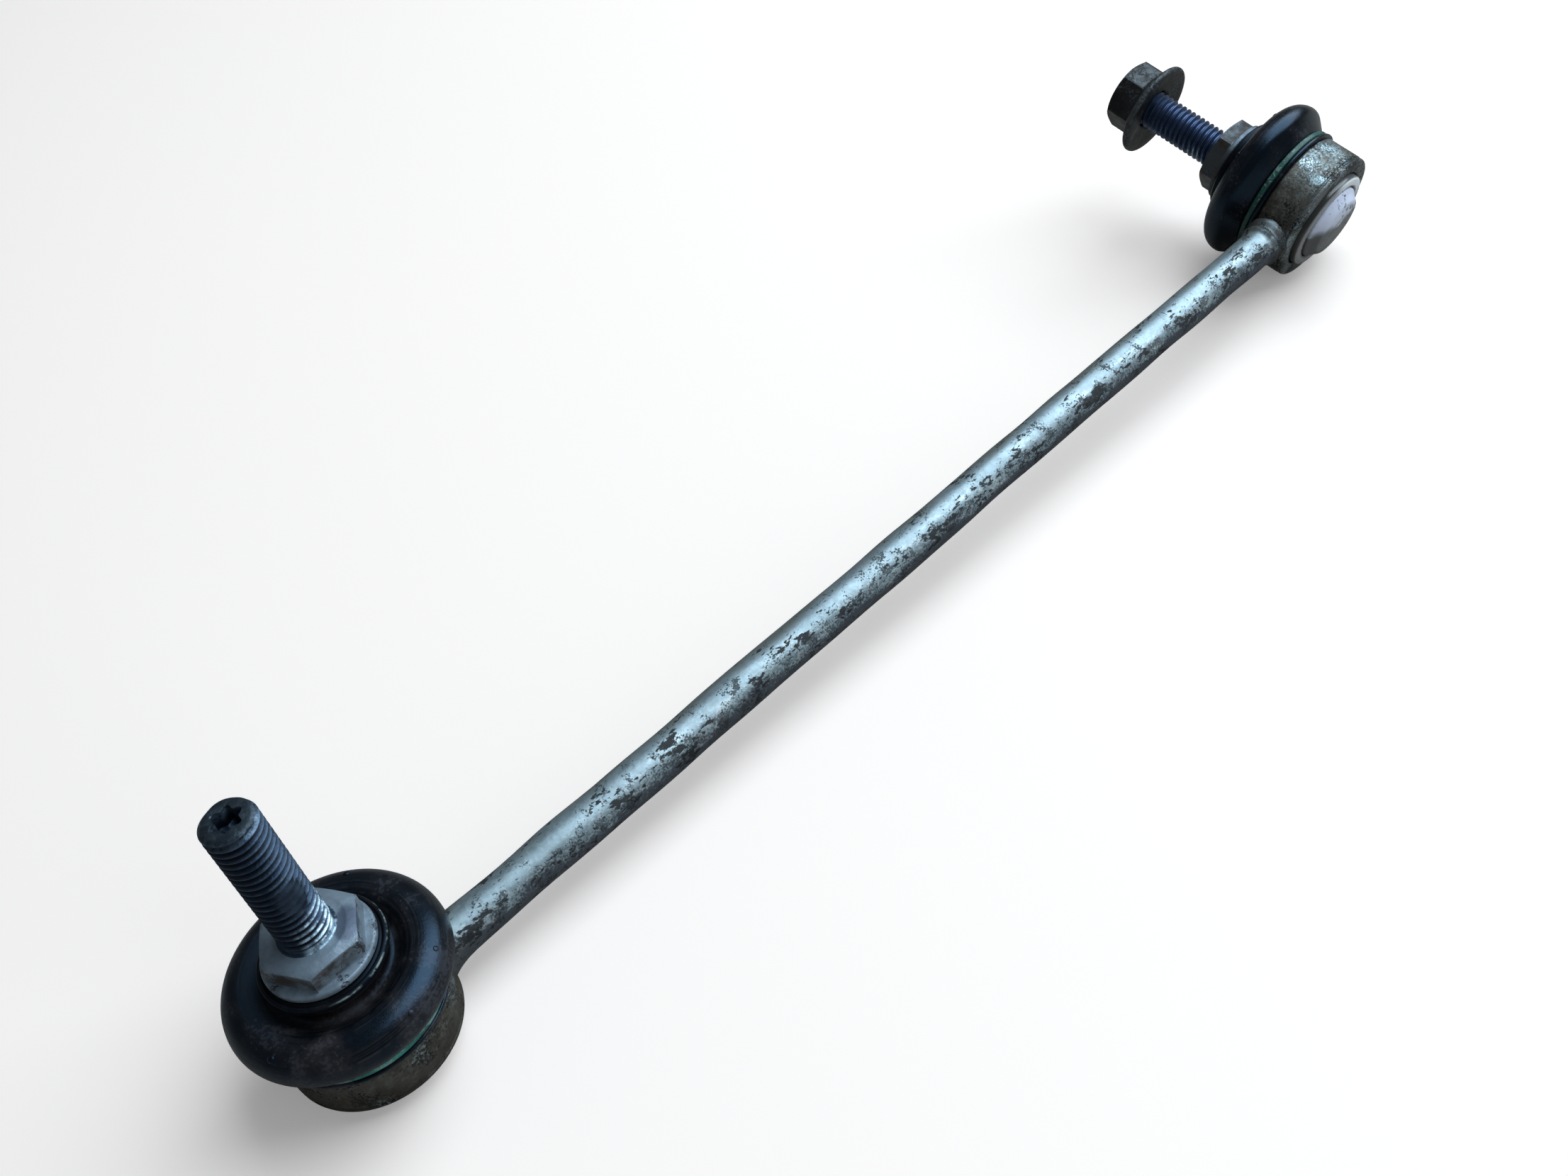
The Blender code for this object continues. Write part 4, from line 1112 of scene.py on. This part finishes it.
def model_seat(context, end, surface):
    """A slotted bearing seat, whose foot shows under the housing's rim."""
    corners = [
        (12.1, SEAT_TOP, 0.0), (12.1, -3.1, 0.0), (14.0, -3.1, 0.0), (14.0, -4.3, 0.0), (12.9, -4.3, 0.0),
        (12.9, SEAT_FOOT, 0.8), (10.2, SEAT_FOOT, 0.2), (10.2, -2.7, 0.0),
    ]
    corners += arc(0.0, 0.0, CAVITY_RADIUS, math.degrees(math.asin(-2.7 / CAVITY_RADIUS)),
                   math.degrees(math.asin(3.0 / CAVITY_RADIUS)), 10)
    corners += [(8.85, SEAT_TOP, 0.0)]
    name = end + "_plain_seat"
    plain = new_object(name, mesh_of(name, turned(corners)))
    cutter = seat_slots(end)
    slots = plain.modifiers.new("Slots", "BOOLEAN")
    slots.operation = "DIFFERENCE"
    slots.solver = "EXACT"
    slots.object = cutter
    context.view_layer.update()
    cut = plain.evaluated_get(context.evaluated_depsgraph_get()).to_mesh()
    shape = bmesh.new()
    shape.from_mesh(cut)
    plain.evaluated_get(context.evaluated_depsgraph_get()).to_mesh_clear()
    bpy.data.objects.remove(plain, do_unlink=True)
    bpy.data.objects.remove(cutter, do_unlink=True)
    seat = add_piece(
        end + "_slotted_seat", shape, joint_matrix(end), [surface], [end + "_ball_seat"])
    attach(seat, "link_body")


def model_cap(context, end, surface):
    """A blunt domed end cap with the hollow for the ball inside."""
    rim = math.degrees(math.asin(CAP_TOP / CAVITY_RADIUS))
    corners = arc(0.0, 0.0, CAVITY_RADIUS, -90.0, rim, 12)
    corners += [(9.9, CAP_TOP, 0.0), (9.9, SEAT_FOOT - 0.3, 0.35), (8.9, SEAT_FOOT - 1.15, 0.3)]
    corners += [(7.75, CAP_FOOT + 0.55, 0.45), (4.5, CAP_FOOT + 0.12, 0.0), (0.0, CAP_FOOT, 0.0)]
    shape = turned(corners)
    cap = add_piece(
        end + "_domed_cap", shape, joint_matrix(end), [surface], [end + "_end_cap"])
    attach(cap, "link_body")


def stud_body(sizes):
    """Ball, neck, hub, flange and hexagon of a stud, open where the shank starts."""
    flats = sizes["hexagon_flats"]
    corner = flats / math.sqrt(3.0)
    rim = flats / 2.0 - CHAMFER_WIDTH
    flange = sizes["flange_radius"]
    shank = sizes["shank_radius"]
    ball_low = math.degrees(-math.acos(BALL_FLAT / BALL_RADIUS))
    ball_high = math.degrees(math.acos(NECK_RADIUS / BALL_RADIUS))
    corners = [(0.0, -math.sqrt(BALL_RADIUS ** 2 - BALL_FLAT ** 2), 0.0)]
    corners += arc(0.0, 0.0, BALL_RADIUS, ball_low, ball_high, 30)
    corners += [(NECK_RADIUS, NECK_TOP, 0.6), (HUB_RADIUS, HUB_FOOT, 0.5), (HUB_RADIUS, FLANGE_FOOT, 0.0)]
    corners += [(flange, FLANGE_FOOT, 0.35), (flange, FLANGE_TOP - 0.15, 0.35), (flange - 0.5, FLANGE_TOP, 0.0)]
    corners += [(corner, FLANGE_TOP, 0.0), (corner, HEXAGON_TOP - CHAMFER_DROP, 0.0), (rim, HEXAGON_TOP, 0.25)]
    corners += [(shank + 0.45, HEXAGON_TOP, 0.0), (shank + 0.12, HEXAGON_TOP + 0.10, 0.0)]
    corners += [(shank, SHANK_FOOT, 0.0), (0.0, SHANK_FOOT, 0.0)]
    shape = turned(corners)
    lid = [face for face in shape.faces if all(vert.co.z > SHANK_FOOT - TOUCH for vert in face.verts)]
    bmesh.ops.delete(shape, geom=lid, context="FACES")
    shape_hexagon(shape, (corner, FLANGE_TOP), flats, (0.0, FLANGE_TOP, 0.0))
    shape_hexagon(shape, (corner, HEXAGON_TOP - CHAMFER_DROP), flats, (rim, HEXAGON_TOP, STUD_CHAMFER_SLOPE))
    soften_edges(shape, FLANGE_TOP - 0.05, HEXAGON_TOP + 0.05, flats * 0.45, EDGE_ROUNDING)
    return shape


def model_stud(context, end, surfaces):
    """A ball stud with its hexagon, rolled thread and key socket."""
    sizes = millimetres(context)
    shank = sizes["shank_radius"]
    shape = stud_body(sizes)
    thread = helical_thread(shank, sizes["thread_depth"], sizes["thread_pitch"], THREAD_FOOT, STUD_TIP)
    fade_thread(thread, shank, THREAD_FOOT, STUD_TIP, THREAD_RUN_OUT, THREAD_CHAMFER)
    if end == "near":
        fill_thread(thread, shank, -80.0, 40.5)
    join(shape, thread)
    middle = HEXAGON_TOP + 0.42
    stitch(shape, open_edges(shape, HEXAGON_TOP, middle), open_edges(shape, middle, HEXAGON_TOP + 1.5))
    key_socket(shape, STUD_TIP)
    bmesh.ops.recalc_face_normals(shape, faces=shape.faces)
    for face in shape.faces:
        height = face.calc_center_median().z
        if height > HEXAGON_TOP + 0.05:
            face.material_index = 0
        elif height > FLANGE_FOOT - 0.05:
            face.material_index = 1
        else:
            face.material_index = 2
    stud = add_piece(
        end + "_threaded_stud", shape, joint_matrix(end), surfaces, [end + "_ball_stud"], 40.0)
    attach(stud, end + "_stud")


def model_collar(context, end, surface):
    """The seal collar under a stud's flange, with a raised outer edge."""
    wide = millimetres(context)["collar_radius"]
    top = COLLAR_FOOT + 1.8
    corners = [
        (wide - 0.55, top, 0.2), (wide, top - 0.25, 0.25), (wide, COLLAR_FOOT + 0.3, 0.3),
        (wide - 0.5, COLLAR_FOOT, 0.2), (6.3, COLLAR_FOOT, 0.0), (6.3, top - 0.1, 0.0),
        (10.3, top - 0.1, 0.0), (10.65, top - 0.45, 0.15), (11.0, top - 0.1, 0.1),
    ]
    shape = turned(corners)
    collar = add_piece(
        end + "_dark_collar", shape, joint_matrix(end), [surface], [end + "_seal_collar"])
    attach(collar, end + "_stud")


def boot_bumps(shape, sizes):
    """Small moulded bumps on the boot's bulge."""
    tube = sizes["bulge_radius"]
    middle = sizes["boot_radius"] - tube
    spots = ((48.0, 62.0, 0.75), (96.0, 70.0, 0.6), (205.0, 55.0, 0.7), (282.0, 40.0, 0.65), (318.0, 52.0, 0.55))
    for turn, rise, size in spots:
        made = bmesh.ops.create_uvsphere(shape, u_segments=20, v_segments=10, radius=size)["verts"]
        bmesh.ops.scale(shape, verts=made, vec=(0.42, 1.0, 1.0))
        bmesh.ops.translate(shape, verts=made, vec=(tube - 0.04, 0.0, 0.0))
        rotate(shape, made, -math.radians(rise), "Y")
        bmesh.ops.translate(shape, verts=made, vec=(middle, 0.0, BULGE_HEIGHT))
        rotate(shape, made, math.radians(turn), "Z")


def model_boot(context, end, surface):
    """A rubber boot with its base bead, round bulge, saddle and sealing lip."""
    sizes = millimetres(context)
    tube = sizes["bulge_radius"]
    middle = sizes["boot_radius"] - tube
    lip = COLLAR_FOOT - 0.3
    corners = [
        (10.7, lip, 0.25), (10.7, lip - 1.1, 0.25), (8.1, lip - 1.1, 0.0), (8.1, SADDLE_HEIGHT, 0.0),
        (9.6, SADDLE_HEIGHT, 0.2), (10.4, SADDLE_HEIGHT + 0.28, 0.25), (11.2, SADDLE_HEIGHT - 0.02, 0.2),
        (12.0, SADDLE_HEIGHT + 0.02, 0.3),
    ]
    corners += arc(middle, BULGE_HEIGHT, tube, 116.0, 4.0, 22)
    corners += arc(middle + tube - BOOT_UNDERSIDE_RADIUS, BULGE_HEIGHT, BOOT_UNDERSIDE_RADIUS, 0.0, -46.0, 8)
    corners += [
        (16.95, 7.7, 0.2), (16.3, 7.7, 0.0), (16.3, 5.9, 0.0), (17.7, 5.9, 0.35), (17.7, 5.0, 0.35),
        (14.2, 5.0, 0.0), (14.2, 7.5, 0.0), (15.4, 7.5, 0.0),
    ]
    corners += arc(middle, BULGE_HEIGHT, tube - BOOT_WALL, -85.0, 118.0, 24)
    corners += [(11.6, SADDLE_HEIGHT - BOOT_WALL, 0.0), (8.1, SADDLE_HEIGHT - BOOT_WALL, 0.2)]
    corners += [(6.4, SADDLE_HEIGHT + 0.7, 0.0), (6.3, lip, 0.0)]
    shape = turned(corners, 144)
    boot_bumps(shape, sizes)
    matrix = joint_matrix(end)
    boot = add_piece(end + "_rubber_boot", shape, matrix, [surface], [end + "_boot"], 50.0)
    end + "_boot_body"
    end + "_neck_ring"
    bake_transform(boot)


def model_base_ring(context, end, surface):
    """The green ring that holds the boot's foot in the housing's groove."""
    shape = turned([(17.5, 7.55, 0.4), (17.5, 6.05, 0.4), (16.45, 6.05, 0.3), (16.45, 7.55, 0.3)])
    ring = add_piece(
        end + "_green_ring", shape, joint_matrix(end), [surface], [end + "_boot_base_ring"])
    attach(ring, end + "_boot_body")


def model_neck_ring(context, end, surface):
    """The ring of wound wire round the boot's neck."""
    wire = 0.3
    pitch = 0.64
    steps = 96
    turns = 0.98
    shape = bmesh.new()
    bmesh.ops.create_circle(shape, cap_ends=True, radius=wire, segments=12)
    rotate(shape, shape.verts, math.pi / 2.0, "X")
    bmesh.ops.translate(shape, verts=shape.verts, vec=(8.75, 0.0, NECK_RING_HEIGHT - pitch / 2.0))
    bmesh.ops.spin(
        shape, geom=shape.faces[:], cent=(0, 0, 0), axis=(0, 0, 1), dvec=(0.0, 0.0, pitch / steps),
        angle=math.tau * turns, steps=steps, use_merge=False)
    bmesh.ops.recalc_face_normals(shape, faces=shape.faces)
    ring = add_piece(
        end + "_wire_ring", shape, joint_matrix(end), [surface], [end + "_boot_top_ring"], 50.0)
    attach(ring, end + "_neck_ring")


def model_nut(context):
    """The flange nut on the far stud, with a dished face and its lock ring's pocket."""
    sizes = millimetres(context)
    flats = sizes["nut_flats"]
    corner = flats / math.sqrt(3.0)
    rim = flats / 2.0 - NUT_RIM_INSET
    flange = sizes["nut_flange_radius"]
    cone_foot = NUT_FACE + NUT_CONE_FOOT
    cone_top = cone_foot + 1.7
    dish = NUT_FACE + NUT_DISH
    slope = NUT_CONE_HEIGHT / (flange - flats / 2.0 + 0.8)
    corners = [
        (LOCK_POCKET_RADIUS, NUT_END, 0.0), (rim, NUT_END, 0.0), (corner, NUT_END - CHAMFER_DROP, 0.0),
        (corner, cone_top, 0.0), (flange - 0.3, cone_foot + 0.05, 0.2), (flange, cone_foot - 0.3, 0.25),
        (flange, NUT_FACE + 0.35, 0.3),
        (flange - 0.5, NUT_FACE, 0.2), (flange - 2.1, NUT_FACE, 0.25), (BORE_RADIUS + 1.5, dish, 0.3),
        (BORE_RADIUS + 0.7, dish + 0.05, 0.1), (BORE_RADIUS, dish + 0.75, 0.0),
        (BORE_RADIUS, LOCK_POCKET_FLOOR, 0.0), (LOCK_POCKET_RADIUS, LOCK_POCKET_FLOOR, 0.0),
    ]
    shape = turned(corners)
    shape_hexagon(shape, (corner, NUT_END - CHAMFER_DROP), flats, (rim, NUT_END, NUT_CHAMFER_SLOPE))
    shape_hexagon(shape, (corner, cone_top), flats, (flange, cone_foot, slope))
    soften_edges(shape, cone_foot + 0.4, NUT_END + 0.05, flats * 0.45, EDGE_ROUNDING)
    surface = nut_finish(context.scene.link_colours)
    nut = add_piece("weathered_nut", shape, joint_matrix("far"), [surface], ["flange_nut"], 40.0)
    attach(nut, "nut")


def model_lock_ring(context):
    """The nylon ring in the nut's outer end."""
    shape = turned([(6.63, 58.02, 0.3), (6.63, 56.02, 0.2), (5.23, 56.02, 0.2), (5.23, 58.02, 0.4)])
    surface = nylon_finish(context.scene.link_colours)
    ring = add_piece("nylon_ring", shape, joint_matrix("far"), [surface], ["nut_lock_ring"])
    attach(ring, "lock_ring")


def model_ends(context, model, surfaces):
    """Model a piece for each end of the link, with one finish or a list of them."""
    for end in ("near", "far"):
        model(context, end, surfaces)


# Studio


def resting_floor():
    """Height and slope of a floor that touches both ends of the link."""
    corners = [piece.matrix_world @ vert.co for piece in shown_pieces() for vert in piece.data.vertices]
    near_end = 0.03
    far_end = 0.25
    gap = 0.0001
    near = min(point.z for point in corners if point.x < near_end)
    slope = min((point.z - near) / point.x for point in corners if point.x > far_end)
    return near - gap, slope


def build_floor(studio):
    """The pale floor that the link rests on."""
    height, slope = resting_floor()
    shape = bmesh.new()
    bmesh.ops.create_grid(shape, x_segments=8, y_segments=8, size=FLOOR_REACH)
    for vert in shape.verts:
        vert.co.z = height + slope * vert.co.x
    mesh = mesh_of("studio_floor", shape)
    mesh.materials.append(floor_finish(studio))
    floor = new_object("studio_floor", mesh)
    floor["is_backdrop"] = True


def add_light(name, offset, size, power):
    """A square soft light that faces the link."""
    lamp = bpy.data.lights.new(name, "AREA")
    lamp.shape = "SQUARE"
    lamp.size = size
    lamp.energy = power
    lamp.color = LIGHT_TINT
    place = LIT_POINT + offset
    turn = (place - LIT_POINT).to_track_quat("Z", "Y").to_matrix().to_4x4()
    light = new_object(name, lamp)
    light.matrix_world = Matrix.Translation(place) @ turn
    return light


def build_sky(context):
    """A weak light from all round, which the camera sees as a pale backdrop."""
    sky = bpy.data.worlds.new("studio_sky")
    context.scene.world = sky
    sky.use_nodes = True
    tree = sky.node_tree
    dim = tree.nodes["Background"]
    connect(tree, dim, {"Color": (*SKY_TINT, 1.0), "Strength": context.scene.link_studio.sky_strength})
    pale = add(tree, "Background", {"Color": (*BACKDROP, 1.0)})
    seen = add(tree, "LightPath", output="Is Camera Ray")
    both = add(tree, "MixShader", {0: seen, 1: Value(tree, dim.outputs[0]), 2: pale})
    connect(tree, tree.nodes["World Output"], {"Surface": both})


def build_camera(context):
    """The camera at the photograph's angle."""
    lens = bpy.data.cameras.new("studio_camera")
    lens.lens = context.scene.link_studio.lens
    lens.sensor_width = 36.0
    lens.clip_start = 0.01
    lens.clip_end = 20.0
    turn = Matrix((CAMERA_RIGHT, CAMERA_UP, -CAMERA_LOOK)).transposed().to_4x4()
    camera = new_object("studio_camera", lens)
    camera.matrix_world = Matrix.Translation(CAMERA_PLACE) @ turn
    context.scene.camera = camera
    context.scene.view_settings.view_transform = "Standard"


def build_stage(context):
    """The floor, the lights and the camera round the finished link."""
    studio = context.scene.link_studio
    build_floor(studio)
    add_light("key_light", KEY_OFFSET, 1.8, studio.key_power)
    fill = add_light("fill_light", FILL_OFFSET, 0.8, studio.fill_power)
    fill.visible_glossy = False
    build_sky(context)
    build_camera(context)


# Operators and panel


class LINK_OT_rod(bpy.types.Operator):
    """Model the plated rod between the housings"""

    bl_idname = "stabilizer_link.rod"
    bl_label = "Plated rod"

    def execute(self, context):
        model_rod(context)
        return {"FINISHED"}


class LINK_OT_housings(bpy.types.Operator):
    """Model the turned steel housings"""

    bl_idname = "stabilizer_link.housings"
    bl_label = "Housings"

    def execute(self, context):
        model_ends(context, model_housing, housing_finish(context.scene.link_colours))
        return {"FINISHED"}


class LINK_OT_bearings(bpy.types.Operator):
    """Model the slotted bearing seats and their end caps"""

    bl_idname = "stabilizer_link.bearings"
    bl_label = "Bearing seats and end caps"

    def execute(self, context):
        colours = context.scene.link_colours
        model_ends(context, model_seat, seat_finish(colours))
        model_ends(context, model_cap, cap_finish(colours))
        return {"FINISHED"}


class LINK_OT_studs(bpy.types.Operator):
    """Model the ball studs with their threads"""

    bl_idname = "stabilizer_link.studs"
    bl_label = "Ball studs"

    def execute(self, context):
        colours = context.scene.link_colours
        surfaces = [stud_thread_finish(colours), hexagon_finish(colours), ball_finish(colours)]
        model_ends(context, model_stud, surfaces)
        return {"FINISHED"}


class LINK_OT_collars(bpy.types.Operator):
    """Model the seal collars under the studs' flanges"""

    bl_idname = "stabilizer_link.collars"
    bl_label = "Seal collars"

    def execute(self, context):
        model_ends(context, model_collar, collar_finish(context.scene.link_colours))
        return {"FINISHED"}


class LINK_OT_boots(bpy.types.Operator):
    """Model the rubber boots"""

    bl_idname = "stabilizer_link.boots"
    bl_label = "Rubber boots"

    def execute(self, context):
        model_ends(context, model_boot, rubber_finish(context.scene.link_colours))
        return {"FINISHED"}


class LINK_OT_rings(bpy.types.Operator):
    """Model the green base rings and the wire rings of the boots"""

    bl_idname = "stabilizer_link.rings"
    bl_label = "Boot rings"

    def execute(self, context):
        colours = context.scene.link_colours
        model_ends(context, model_base_ring, green_ring_finish(colours))
        model_ends(context, model_neck_ring, wire_finish(colours))
        return {"FINISHED"}


class LINK_OT_nut(bpy.types.Operator):
    """Model the flange nut and its lock ring"""

    bl_idname = "stabilizer_link.nut"
    bl_label = "Flange nut"

    def execute(self, context):
        model_nut(context)
        model_lock_ring(context)
        return {"FINISHED"}


class LINK_OT_stage(bpy.types.Operator):
    """Set up the floor, the lights and the camera"""

    bl_idname = "stabilizer_link.stage"
    bl_label = "Studio"

    def execute(self, context):
        build_stage(context)
        return {"FINISHED"}


OPERATORS = (
    LINK_OT_rod, LINK_OT_housings, LINK_OT_bearings, LINK_OT_studs, LINK_OT_collars, LINK_OT_boots, LINK_OT_rings,
    LINK_OT_nut, LINK_OT_stage,
)


class LINK_PT_panel(bpy.types.Panel):
    """Sizes, colours and steps of the stabilizer link"""

    bl_idname = "LINK_PT_panel"
    bl_label = "Stabilizer link"
    bl_space_type = "VIEW_3D"
    bl_region_type = "UI"
    bl_category = "Stabilizer link"

    def draw(self, context):
        for group, kind in PROPERTIES.items():
            box = self.layout.box()
            for name in kind.__annotations__:
                box.prop(getattr(context.scene, group), name)
        for operator in OPERATORS:
            self.layout.operator(operator.bl_idname)


PROPERTIES = {"link_sizes": LinkSizes, "link_colours": LinkColours, "link_studio": LinkStudio}
CLASSES = (*PROPERTIES.values(), *OPERATORS, LINK_PT_panel)


def register():
    """Register the add-on's classes and its properties."""
    for kind in CLASSES:
        bpy.utils.register_class(kind)
    for group, kind in PROPERTIES.items():
        setattr(bpy.types.Scene, group, bpy.props.PointerProperty(type=kind))


def unregister():
    """Take the add-on's properties and classes away again."""
    for group in PROPERTIES:
        delattr(bpy.types.Scene, group)
    for kind in reversed(CLASSES):
        bpy.utils.unregister_class(kind)


def main():
    """Register the add-on and run each of its steps, which model the link's pieces and build the studio."""
    register()
    for operator in OPERATORS:
        name = operator.bl_idname.split(".")[1]
        getattr(bpy.ops.stabilizer_link, name)()


if __name__ == "__main__":
    main()
